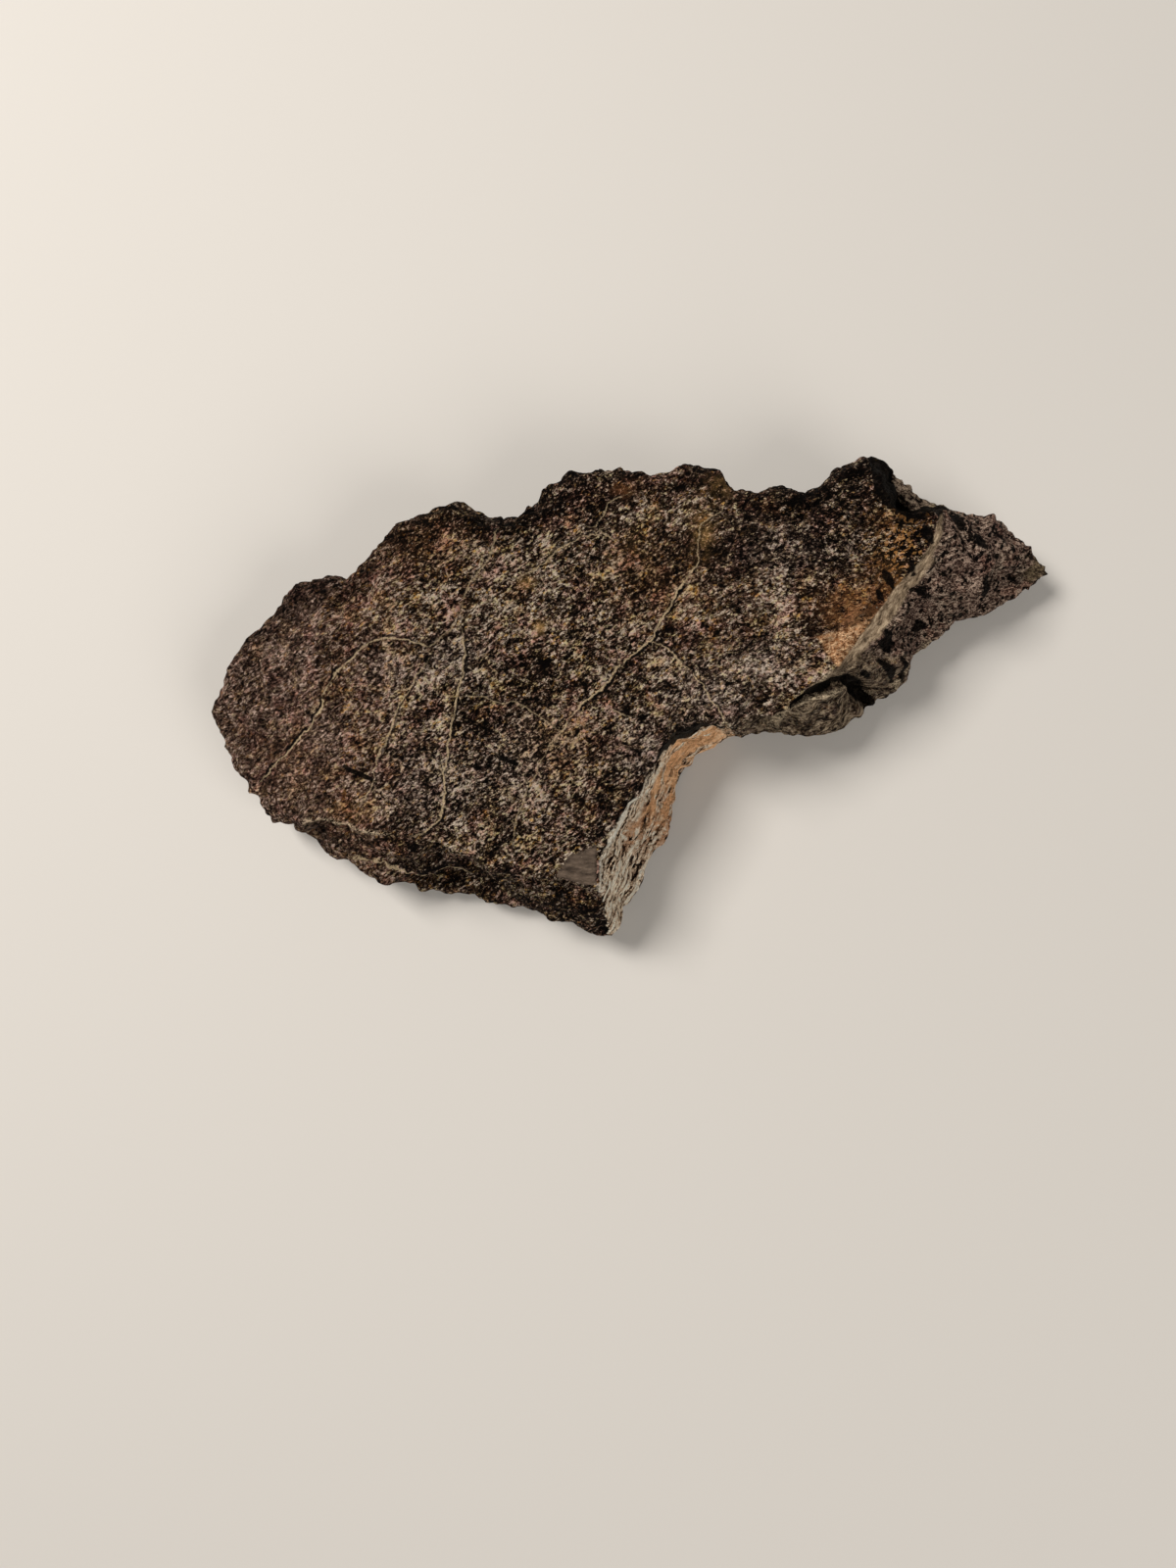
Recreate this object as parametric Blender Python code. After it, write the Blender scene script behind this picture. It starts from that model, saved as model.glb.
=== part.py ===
"""A broken slab of stony meteorite, lying with its flat face up on a small flat spot.

The stone is one solid, and its skin is one surface of two parameters, column and ring.
Columns run round the stone: along the south edge from the blunt end to the pointed end,
then back along the north edge. Rings run from the middle of the flat face out to its rim,
down the side past the girdle, which is the outline seen from above, in to the foot, and
across the underside to its middle.
Sizes are in millimetres. East is the pointed end and north is the scalloped edge.
"""

import bpy
import numpy as np

METRES_PER_MM = 0.001
NODE = "meteorite"

# How finely the skin is divided
COLUMNS_PER_EDGE = 80
FACE_RINGS = 9
SIDE_RINGS = 13
UNDER_RINGS = 6
PROFILE_STEPS = 24

# How far out from the spine the innermost ring lies, in ring widths
FIRST_RING = 0.5

# The flat face
FACE_HEIGHT = 27.5
BLUNT_END_DROP = 8.5
BLUNT_END_DROP_FROM = 35.0
BLUNT_END_DROP_TO = 90.0
ROUND_RIM_DROP = 3.0
ROUND_RIM_DROP_FROM = 0.65

# The underside: a small flat spot under the stone's centre of mass, and a slow rise round it
SPOT_CENTRE = (0.0, 26.0)
SPOT_RADII = (18.0, 13.0)
UNDER_SLOPE = 0.065
LEAST_UNDER_SLOPE = 0.03

# How far the side runs in under the girdle, as a share of the girdle's height, and how that
# share swells and shrinks round the stone
TUCK_SHARE = 0.42
TUCK_SWELL = 0.4
TUCK_WAVELENGTH = 48.0
TUCK_SEED = 41
FOOT_EASE_PASSES = 10

# Ribs along each edge, from the blunt tip to the pointed tip. A rib has the girdle's place
# (x, y, z), the rim's place (x, y) and how round the side is between them: 1 is round, 0 is
# straight and below 0 is hollow.
BLUNT_TIP = (-89.0, 16.5, 12.0, -85.5, 17.0, 0.9)
POINTED_TIP = (113.0, 50.5, 9.0, 77.0, 52.5, 0.1)
SOUTH_RIBS = (
    BLUNT_TIP,
    # The south end of the blunt edge
    (-85.5, 9.0, 11.0, -82.0, 10.0, 0.9),
    (-83.5, 2.5, 10.0, -80.0, 4.0, 0.8),
    (-80.5, -1.5, 9.5, -77.5, 0.5, 0.7),
    (-75.0, -10.0, 8.0, -72.0, -7.5, 0.6),
    (-71.0, -10.5, 8.0, -68.0, -8.5, 0.5),
    (-67.0, -14.5, 7.5, -64.5, -9.5, 0.2),
    # The sloping south band
    (-61.5, -19.0, 7.0, -60.0, -10.0, 0.1),
    (-55.5, -21.0, 7.0, -54.5, -11.0, 0.1),
    (-49.5, -24.8, 6.5, -49.0, -12.0, 0.1),
    (-41.0, -26.2, 6.5, -40.5, -12.5, 0.1),
    (-34.5, -27.8, 6.0, -33.0, -15.0, 0.1),
    (-25.5, -29.6, 6.0, -25.0, -18.0, 0.1),
    (-20.5, -31.5, 6.0, -19.5, -20.5, 0.1),
    (-10.0, -32.0, 6.0, -11.0, -23.0, 0.2),
    (-3.0, -33.4, 5.0, -4.0, -23.5, 0.1),
    # The sharp corner, then the fracture wall
    (5.0, -35.5, 4.0, 2.5, -24.0, 0.0),
    (9.0, -32.4, 4.0, 2.8, -20.5, 0.0),
    (12.6, -28.0, 4.0, 3.2, -18.0, 0.0),
    (15.0, -20.2, 4.0, 5.0, -13.0, 0.0),
    (18.8, -15.8, 4.0, 6.5, -10.0, 0.0),
    (20.3, -12.2, 4.0, 8.0, -7.5, 0.0),
    (21.2, -7.3, 4.0, 10.5, -4.5, 0.0),
    (21.8, -2.8, 4.0, 13.0, -1.5, 0.0),
    (22.8, 2.5, 4.0, 16.3, 3.9, 0.0),
    (26.0, 5.0, 5.0, 19.2, 10.2, 0.0),
    # The notch and the lobes below the ridge
    (33.5, 10.5, 7.0, 27.8, 13.8, 0.0),
    (47.0, 12.0, 7.0, 41.5, 14.2, 0.0),
    (58.0, 12.5, 7.0, 47.0, 16.0, 0.2),
    (63.5, 14.0, 7.0, 51.0, 20.0, 0.2),
    (72.0, 20.0, 7.0, 56.0, 25.5, 0.2),
    (75.5, 22.0, 7.0, 58.5, 27.5, 0.2),
    # The long sloping flank
    (81.0, 33.0, 7.0, 63.0, 34.0, 0.1),
    (88.5, 38.5, 7.5, 67.0, 40.0, 0.1),
    (99.5, 42.5, 8.0, 72.0, 46.0, 0.1),
    (108.0, 46.0, 9.0, 75.5, 50.0, 0.1),
    POINTED_TIP,
)
NORTH_RIBS = (
    BLUNT_TIP,
    # The blunt end and the western scallops
    (-85.5, 26.5, 12.5, -82.0, 25.5, 0.9),
    (-82.5, 32.5, 13.0, -79.5, 30.5, 0.9),
    (-74.5, 40.0, 12.0, -72.0, 37.5, 1.0),
    (-69.0, 46.5, 14.0, -67.5, 43.0, 1.0),
    (-60.0, 49.0, 16.0, -60.0, 45.5, 1.0),
    (-56.5, 48.5, 14.5, -55.5, 45.5, 1.0),
    (-52.5, 52.0, 15.0, -50.5, 49.5, 1.0),
    (-47.0, 58.0, 16.0, -45.0, 55.0, 1.0),
    (-39.0, 63.0, 19.0, -38.0, 59.5, 1.0),
    (-31.0, 65.5, 20.0, -31.0, 62.0, 1.0),
    (-25.5, 63.0, 18.0, -26.0, 59.5, 1.0),
    (-19.5, 61.0, 15.0, -20.0, 57.5, 1.0),
    # The middle scallops
    (-10.0, 66.0, 17.0, -10.0, 62.5, 1.0),
    (-1.0, 71.0, 20.0, -1.0, 67.5, 1.0),
    (8.0, 73.5, 22.0, 8.0, 70.0, 1.0),
    (15.0, 72.0, 19.0, 15.0, 68.5, 1.0),
    (22.5, 74.5, 21.0, 22.5, 71.0, 1.0),
    (31.0, 73.0, 21.0, 30.0, 69.5, 1.0),
    (34.5, 69.0, 17.0, 34.0, 65.5, 1.0),
    (41.0, 68.5, 16.0, 41.0, 65.0, 1.0),
    (51.0, 66.5, 18.0, 51.5, 63.0, 1.0),
    # The knob, and the low facet east of it
    (59.0, 73.5, 20.0, 59.5, 69.5, 0.9),
    (64.5, 76.5, 20.0, 63.8, 73.2, 0.7),
    (69.0, 76.0, 19.0, 65.6, 70.8, -0.1),
    (73.0, 73.0, 18.0, 66.8, 66.0, -0.35),
    (79.0, 68.0, 17.0, 69.4, 61.8, -0.35),
    (83.0, 65.5, 16.5, 78.5, 61.2, -0.2),
    # The north side of the flank
    (97.5, 63.0, 13.5, 80.0, 57.5, 0.2),
    (105.5, 57.5, 11.5, 78.5, 55.0, 0.2),
    POINTED_TIP,
)

# The line down the middle of the flat face that the columns start from
SPINE = ((-60.0, 17.5), (-30.0, 21.0), (-4.0, 20.0), (21.0, 39.0), (41.0, 39.5), (57.0, 46.0))
SPINE_BUNCHING = 0.7

# Lumps and hollows: place (x, y, z), radii (x, y, z) and the push (x, y, z) at the place
LUMPS = (
    # The knob on the north edge, and the hollow that drops away east of it
    ((63.0, 69.0, 27.0), (7.0, 8.0, 12.0), (0.0, 0.0, 1.8)),
    ((74.0, 67.5, 21.0), (4.5, 3.5, 9.0), (0.0, 0.0, -1.2)),
    # The two lobes below the ridge, and the crevice between them
    ((71.0, 26.5, 11.0), (9.0, 6.5, 8.0), (1.2, -1.2, 1.4)),
    ((58.5, 15.5, 11.0), (9.0, 4.5, 7.0), (0.6, -1.4, 1.2)),
    ((66.0, 20.5, 13.0), (6.0, 2.4, 9.0), (-2.0, 2.0, -2.0)),
    # The long pit near the blunt end
    ((-53.0, 1.5, 26.0), (4.5, 2.6, 8.0), (0.0, 0.0, -1.6)),
    # The larger pits of the flank
    ((69.5, 33.0, 20.0), (3.0, 3.0, 4.0), (-1.2, 0.6, -1.6)),
    ((79.0, 42.0, 17.0), (3.2, 3.2, 4.0), (-1.0, 0.5, -1.4)),
    ((96.0, 48.5, 17.0), (3.2, 2.8, 4.0), (-0.8, 0.0, -1.6)),
    ((87.0, 57.0, 20.0), (3.4, 3.0, 4.0), (-0.6, -0.2, -1.4)),
    # The ledge along the foot of the south band
    ((-45.0, -20.5, 11.0), (18.0, 5.0, 3.0), (0.0, -0.8, 2.0)),
)

# Slow swells of the skin, and the scoops between sharp ridges: wavelength, height and seed
SWELLS = ((30.0, 0.5, 11), (9.0, 0.2, 13))
SCOOPS = ((22.0, 0.9, 31), (12.0, 0.5, 32))
WAVES_PER_SWELL = 28

# The mean depth of a scoop of height 1, added back so that scoops leave the stone its size
SCOOP_MEAN = 0.5

# Broken facets: how many, how much they tilt and step, and how wide the change between two is
FACET_COUNT = 170
FACET_TILT = 0.15
FACET_STEP = 0.6
FACET_EDGE = 3.0
FACET_SEED = 24
FACET_BOX = ((-92.0, -38.0, 0.0), (114.0, 78.0, 28.0))

# How much of all this the flat face and the foot keep, and how fast it fades in elsewhere
FACE_SHARE = 0.35
SIDE_FADE = 0.25
SPOT_FADE = 1.6
LOW_SHARE = 0.3
LOW_FADE = (2.0, 9.0)
GIRDLE_SHARE = 0.12
GIRDLE_FADE = 5.0
NORMAL_PASSES = 8

STONE_COLOUR = (0.085, 0.062, 0.047, 1.0)
STONE_ROUGHNESS = 0.78
SHARP_ANGLE = np.radians(32.0)


def read_ribs(ribs, columns):
    """The rib table read at every column: ribs fall on whole columns, and lie straight between."""
    table = np.array(ribs)
    steps = np.linalg.norm(np.diff(table[:, :2], axis=0), axis=1)
    reach = np.concatenate([[0.0], np.cumsum(steps)]) / steps.sum()
    order = np.arange(len(table))
    knots = np.maximum.accumulate(np.round(reach * columns) - order) + order
    at = np.arange(columns + 1)
    return np.stack([np.interp(at, knots, values) for values in table.T], axis=1)


def spine_line(columns):
    """The spine's (x, y) at every column of one edge, closer together towards its two ends."""
    points = np.array(SPINE)
    steps = np.linalg.norm(np.diff(points, axis=0), axis=1)
    reach = np.concatenate([[0.0], np.cumsum(steps)]) / steps.sum()
    even = np.linspace(0.0, 1.0, columns + 1)
    at = even - SPINE_BUNCHING * np.sin(2.0 * np.pi * even) / (2.0 * np.pi)
    return np.stack([np.interp(at, reach, values) for values in points.T], axis=1)


def round_trip(south, north):
    """One closed run of columns: the south edge outward, then the north edge back."""
    return np.concatenate([south[:-1], north[:0:-1]])


def smooth_step(value, start, end):
    """0 before start, 1 after end, and a smooth S between."""
    share = np.clip((value - start) / (end - start), 0.0, 1.0)
    return share * share * (3.0 - 2.0 * share)


def face_height(x, out, roundness):
    """Height of the flat face: lower at the blunt end, and towards the rim where that is round."""
    blunt = smooth_step(-x, BLUNT_END_DROP_FROM, BLUNT_END_DROP_TO)
    rim = roundness * smooth_step(out, ROUND_RIM_DROP_FROM, 1.0)
    return FACE_HEIGHT - BLUNT_END_DROP * blunt - ROUND_RIM_DROP * rim


def beyond_spot(x, y):
    """Distance outside the flat spot's ellipse, and 0 within it."""
    across = np.hypot((x - SPOT_CENTRE[0]) / SPOT_RADII[0], (y - SPOT_CENTRE[1]) / SPOT_RADII[1])
    return np.maximum(across - 1.0, 0.0) * np.mean(SPOT_RADII)


def with_height(plan, height):
    """Plan points (x, y) with their heights joined on."""
    return np.concatenate([plan, height[..., None]], axis=-1)


def eased(line, passes):
    """A closed line with each point moved to the mean of itself and its two neighbours."""
    for _ in range(passes):
        line = (line + np.roll(line, 1, axis=0) + np.roll(line, -1, axis=0)) / 3.0
    return line


def even_rings(path, rings):
    """Each column's path read again at evenly spaced lengths, without its first point."""
    steps = np.linalg.norm(np.diff(path, axis=0), axis=2)
    reach = np.concatenate([np.zeros((1, path.shape[1])), np.cumsum(steps, axis=0)])
    wanted = reach[-1] * (np.arange(1, rings + 1) / rings)[:, None]
    before = (reach[None] < wanted[:, None]).sum(axis=1) - 1
    before = np.clip(before, 0, len(steps) - 1)
    column = np.arange(path.shape[1])
    share = (wanted - reach[before, column]) / steps[before, column]
    start, end = path[before, column], path[before + 1, column]
    return start + (end - start) * share[..., None]


def skin():
    """The stone's skin before its relief, as rings by columns by (x, y, z), and its girdle."""
    ribs = round_trip(*(read_ribs(edge, COLUMNS_PER_EDGE) for edge in (SOUTH_RIBS, NORTH_RIBS)))
    line = spine_line(COLUMNS_PER_EDGE)
    spine = round_trip(line, line)
    girdle, girdle_z = ribs[:, :2], ribs[:, 2]
    rim, roundness = ribs[:, 3:5], ribs[:, 5]
    rim_z = face_height(rim[:, 0], 1.0, roundness)

    out = ((np.arange(FACE_RINGS) + FIRST_RING) / (FACE_RINGS - 1 + FIRST_RING))[:, None]
    face_plan = spine + (rim - spine) * out[..., None]
    face = with_height(face_plan, face_height(face_plan[..., 0], out, roundness))

    down = np.linspace(0.0, 1.0, PROFILE_STEPS)[:, None]
    quarter = down * np.pi / 2
    outward = down + roundness * (np.sin(quarter) - down)
    fall = down + roundness * (1.0 - np.cos(quarter) - down)
    brow = with_height(rim + (girdle - rim) * outward[..., None], rim_z + (girdle_z - rim_z) * fall)

    swell = 1.0 + TUCK_SWELL * waves(ribs[None, :, :3], TUCK_WAVELENGTH, TUCK_SEED)[0]
    inset = unit(spine - girdle) * (TUCK_SHARE * swell * girdle_z)[:, None]
    foot = eased(girdle + inset, FOOT_EASE_PASSES)
    foot_z = UNDER_SLOPE * beyond_spot(*foot.T)
    tuck_plan = girdle + (foot - girdle) * (1.0 - np.cos(quarter))[..., None]
    tuck = with_height(tuck_plan, girdle_z + (foot_z - girdle_z) * np.sin(quarter))
    side = even_rings(np.concatenate([brow, tuck[1:]]), SIDE_RINGS)

    back = 1.0 - (np.arange(1, UNDER_RINGS + 1) / (UNDER_RINGS + FIRST_RING))[:, None, None]
    under_plan = spine + (foot - spine) * back
    under_z = UNDER_SLOPE * beyond_spot(under_plan[..., 0], under_plan[..., 1])
    return np.concatenate([face, side, with_height(under_plan, under_z)]), ribs[:, :3]


def unit(vectors):
    return vectors / np.linalg.norm(vectors, axis=-1, keepdims=True)


def outward_normals(points):
    """Unit normals of the skin, from the cross product of its ring and column directions,
    each averaged with its neighbours so that a push along them spreads no sharp edge."""
    along = np.roll(points, -1, axis=1) - np.roll(points, 1, axis=1)
    normals = unit(np.cross(np.gradient(points, axis=0), along))
    for _ in range(NORMAL_PASSES):
        inner = np.concatenate([normals[:1], normals[:-1]])
        outer = np.concatenate([normals[1:], normals[-1:]])
        beside = np.roll(normals, 1, axis=1) + np.roll(normals, -1, axis=1)
        normals = unit(normals + inner + outer + beside)
    return normals


def lumps(points):
    """Each lump or hollow is its push, times a bell of the distance measured in its radii."""
    total = np.zeros(points.shape)
    for place, radii, push in LUMPS:
        distance = (points - np.array(place)) / np.array(radii)
        total += np.array(push) * np.exp(-(distance**2).sum(axis=2, keepdims=True))
    return total


def waves(points, wavelength, seed):
    """A smooth random field about 1 high: a sum of plane waves in seeded directions."""
    random = np.random.default_rng(seed)
    ways = unit(random.normal(size=(WAVES_PER_SWELL, 3))) * 2.0 * np.pi / wavelength
    phases = random.uniform(0.0, 2.0 * np.pi, WAVES_PER_SWELL)
    return np.sin(points @ ways.T + phases).sum(axis=2) / np.sqrt(WAVES_PER_SWELL)


def swells(points):
    """Slow rises and dips of the broken skin, one wave field for each wavelength."""
    return sum(height * waves(points, length, seed) for length, height, seed in SWELLS)


def scoops(points):
    """Broken hollows that meet in sharp ridges: each wave field with its sign taken away."""
    fields = ((height, abs(waves(points, length, seed))) for length, height, seed in SCOOPS)
    return sum(height * (SCOOP_MEAN - field) for height, field in fields)


def facets(points):
    """Broken facets: seeds strewn through a box each carry a tilted plane, and a point takes
    the planes of the seeds near it, weighted so that the nearest seed's plane rules."""
    random = np.random.default_rng(FACET_SEED)
    seeds = random.uniform(*FACET_BOX, (FACET_COUNT, 3))
    tilts = random.normal(scale=FACET_TILT, size=(FACET_COUNT, 3))
    steps = random.normal(scale=FACET_STEP, size=FACET_COUNT)
    offset = points[..., None, :] - seeds
    distance = np.linalg.norm(offset, axis=3)
    weight = np.exp((distance.min(axis=2, keepdims=True) - distance) / FACET_EDGE)
    planes = (offset * tilts).sum(axis=3) + steps
    return (weight * planes).sum(axis=2) / weight.sum(axis=2)


def roughness_share(points, girdle):
    """How much of the broken relief each point takes: little on the flat face, at the girdle
    and near the ground, none on the flat spot, and all of it on the open side."""
    past_rim = (np.arange(len(points)) - FACE_RINGS + 1)[:, None] / SIDE_RINGS
    face = FACE_SHARE + (1.0 - FACE_SHARE) * smooth_step(past_rim, 0.0, SIDE_FADE)
    low = LOW_SHARE + (1.0 - LOW_SHARE) * smooth_step(points[..., 2], *LOW_FADE)
    clear = smooth_step(UNDER_SLOPE * beyond_spot(points[..., 0], points[..., 1]), 0.0, SPOT_FADE)
    off_girdle = smooth_step(np.linalg.norm(points - girdle, axis=2), 0.0, GIRDLE_FADE)
    outline = GIRDLE_SHARE + (1.0 - GIRDLE_SHARE) * off_girdle
    return face * outline * np.where(past_rim > 1.0, clear, low)


def stone_points():
    """The finished skin, resting on height 0 and centred in plan."""
    points, girdle = skin()
    bulge = (swells(points) + scoops(points) + facets(points)) * roughness_share(points, girdle)
    points = points + lumps(points) + outward_normals(points) * bulge[..., None]
    floor = LEAST_UNDER_SLOPE * beyond_spot(points[..., 0], points[..., 1])
    points[..., 2] = np.maximum(points[..., 2], floor)
    low, high = points.min(axis=(0, 1)), points.max(axis=(0, 1))
    points[..., :2] -= (low + high)[:2] / 2
    return points


def skin_faces(rings, columns):
    """Quads between neighbouring rings, and a strip that closes each middle across the spine."""
    at = np.arange(rings * columns).reshape(rings, columns)
    after = np.roll(at, -1, axis=1)
    grid = np.stack([at[:-1], at[1:], after[1:], after[:-1]], axis=2).reshape(-1, 4)
    half = columns // 2
    near = np.arange(1, half - 1)
    far = columns - near
    middle = np.stack([near, near + 1, far - 1, far], axis=1)
    ends = np.array([[0, 1, columns - 1], [half, half + 1, half - 1]])
    last = (rings - 1) * columns
    faces = grid.tolist() + middle.tolist() + ends.tolist()
    return faces + (middle + last)[:, ::-1].tolist() + (ends + last)[:, ::-1].tolist()


def stone_material():
    material = bpy.data.materials.new("meteorite_stone")
    material.use_nodes = True
    shader = material.node_tree.nodes["Principled BSDF"]
    shader.inputs["Base Color"].default_value = STONE_COLOUR
    shader.inputs["Roughness"].default_value = STONE_ROUGHNESS
    shader.inputs["Metallic"].default_value = 0.0
    return material


def build_stone():
    points = stone_points()
    rings, columns = points.shape[:2]
    mesh = bpy.data.meshes.new(NODE)
    mesh.from_pydata((points.reshape(-1, 3) * METRES_PER_MM).tolist(), [], skin_faces(rings, columns))
    mesh.materials.append(stone_material())
    mesh.shade_smooth()
    mesh.set_sharp_from_angle(angle=SHARP_ANGLE)
    stone = bpy.data.objects.new(NODE, mesh)
    bpy.context.scene.collection.objects.link(stone)
    return stone


for leftover in list(bpy.data.objects):
    bpy.data.objects.remove(leftover)
build_stone()
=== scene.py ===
# %% [markdown]
# # A stony meteorite, dressed
#
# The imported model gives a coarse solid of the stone. Here we put a much finer skin over the
# same form, with the grain, chips, pits, veins and stains of the real stone, and give it a
# material worked out by nodes. All sizes in the cells are in millimetres on the stone, and
# east is the pointed end, north the scalloped edge, as the picture shows them.

import bpy
import numpy as np
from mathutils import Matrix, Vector


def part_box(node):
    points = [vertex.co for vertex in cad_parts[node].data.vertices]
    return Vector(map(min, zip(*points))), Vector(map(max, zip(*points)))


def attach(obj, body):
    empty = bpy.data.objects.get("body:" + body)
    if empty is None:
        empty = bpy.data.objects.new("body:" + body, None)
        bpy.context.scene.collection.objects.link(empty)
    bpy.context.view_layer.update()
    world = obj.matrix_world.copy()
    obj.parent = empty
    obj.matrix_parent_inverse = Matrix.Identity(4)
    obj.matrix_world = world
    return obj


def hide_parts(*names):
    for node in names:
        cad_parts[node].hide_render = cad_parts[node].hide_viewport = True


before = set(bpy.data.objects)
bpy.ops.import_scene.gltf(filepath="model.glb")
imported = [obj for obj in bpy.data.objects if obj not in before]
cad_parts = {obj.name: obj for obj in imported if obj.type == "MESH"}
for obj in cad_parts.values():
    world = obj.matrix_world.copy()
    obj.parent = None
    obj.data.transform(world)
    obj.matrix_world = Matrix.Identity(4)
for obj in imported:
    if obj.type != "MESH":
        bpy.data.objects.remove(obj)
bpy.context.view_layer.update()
STONE_LOW, STONE_HIGH = (np.array(corner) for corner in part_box("meteorite"))
METRES_PER_MM = 0.001
print("stone, mm:", np.round((STONE_HIGH - STONE_LOW) / METRES_PER_MM, 1))

# %% [markdown]
# ## The camera
#
# The picture was taken from straight above, from about 30 cm over the stone. That height
# matters: it is what makes the near rim look a little larger than the foot. We work in survey
# coordinates, whose origin lies under the lens, and the stone's own frame has its origin
# under the middle of its outline, so the camera stands off by the survey's origin.

# %% Stand the camera over the survey's origin
SURVEY_ORIGIN = (-10.72, -19.81)
CAMERA_HEIGHT = 304.0
LENS = 28.08
SENSOR_HEIGHT = 36.0
NEAREST_SIGHT = 0.01

camera_data = bpy.data.cameras.new("camera")
camera_data.sensor_fit = "VERTICAL"
camera_data.sensor_height = SENSOR_HEIGHT
camera_data.lens = LENS
camera_data.clip_start = NEAREST_SIGHT
camera = bpy.data.objects.new("camera", camera_data)
camera.location = np.array([*SURVEY_ORIGIN, CAMERA_HEIGHT]) * METRES_PER_MM
bpy.context.scene.collection.objects.link(camera)
bpy.context.scene.camera = camera
print("camera over", SURVEY_ORIGIN, "at", CAMERA_HEIGHT)

# %% [markdown]
# ## The survey of the edge
#
# The stone's character is in its outline, so we measured it rib by rib. Each rib crosses the
# side of the stone: it starts on the rim of the flat face and runs out to the girdle, which
# is the outline seen from above. How round the rib is between them tells a soft brow, along
# the north, from a crisp break, along the fracture wall. A noise could never give this
# outline, and sculpting by hand could not be repeated, so a table of ribs it is.

# %% Ribs: girdle (x, y, z), rim (x, y), roundness
BLUNT_TIP = (-89.0, 16.5, 12.0, -85.5, 17.0, 0.9)
POINTED_TIP = (113.0, 50.5, 9.0, 77.0, 52.5, 0.1)
SOUTH_RIBS = (
    BLUNT_TIP,
    # 1 to 6: the south end of the blunt edge
    (-85.5, 9.0, 11.0, -82.0, 10.0, 0.9),
    (-83.5, 2.5, 10.0, -80.0, 4.0, 0.8),
    (-80.5, -1.5, 9.5, -77.5, 0.5, 0.7),
    (-75.0, -10.0, 8.0, -72.0, -7.5, 0.6),
    (-71.0, -10.5, 8.0, -68.0, -8.5, 0.5),
    (-67.0, -14.5, 7.5, -64.5, -9.5, 0.2),
    # 7 to 15: the sloping south band
    (-61.5, -19.0, 7.0, -60.0, -10.0, 0.1),
    (-55.5, -21.0, 7.0, -54.5, -11.0, 0.1),
    (-49.5, -24.8, 6.5, -49.0, -12.0, 0.1),
    (-41.0, -26.2, 6.5, -40.5, -12.5, 0.1),
    (-34.5, -27.8, 6.0, -33.0, -15.0, 0.1),
    (-25.5, -29.6, 6.0, -25.0, -18.0, 0.1),
    (-20.5, -31.5, 6.0, -19.5, -20.5, 0.1),
    (-10.0, -32.0, 6.0, -11.0, -23.0, 0.2),
    (-3.0, -33.4, 5.0, -4.0, -23.5, 0.1),
    # 16 to 25: the sharp corner, then the fracture wall
    (5.0, -35.5, 4.0, 2.5, -24.0, 0.0),
    (9.0, -32.4, 4.0, 2.8, -20.5, 0.0),
    (12.6, -28.0, 4.0, 3.2, -18.0, 0.0),
    (15.0, -20.2, 4.0, 5.0, -13.0, 0.0),
    (18.8, -15.8, 4.0, 6.5, -10.0, 0.0),
    (20.3, -12.2, 4.0, 8.0, -7.5, 0.0),
    (21.2, -7.3, 4.0, 10.5, -4.5, 0.0),
    (21.8, -2.8, 4.0, 13.0, -1.5, 0.0),
    (22.8, 2.5, 4.0, 16.3, 3.9, 0.0),
    (26.0, 5.0, 5.0, 19.2, 10.2, 0.0),
    # 26 to 31: the notch and the lobes below the ridge
    (33.5, 10.5, 7.0, 27.8, 13.8, 0.0),
    (47.0, 12.0, 7.0, 41.5, 14.2, 0.0),
    (58.0, 12.5, 7.0, 47.0, 16.0, 0.2),
    (63.5, 14.0, 7.0, 51.0, 20.0, 0.2),
    (72.0, 20.0, 7.0, 56.0, 25.5, 0.2),
    (75.5, 22.0, 7.0, 58.5, 27.5, 0.2),
    # 32 to 36: the long sloping flank
    (81.0, 33.0, 7.0, 63.0, 34.0, 0.1),
    (88.5, 38.5, 7.5, 67.0, 40.0, 0.1),
    (99.5, 42.5, 8.0, 72.0, 46.0, 0.1),
    (108.0, 46.0, 9.0, 75.5, 50.0, 0.1),
    POINTED_TIP,
)
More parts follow.
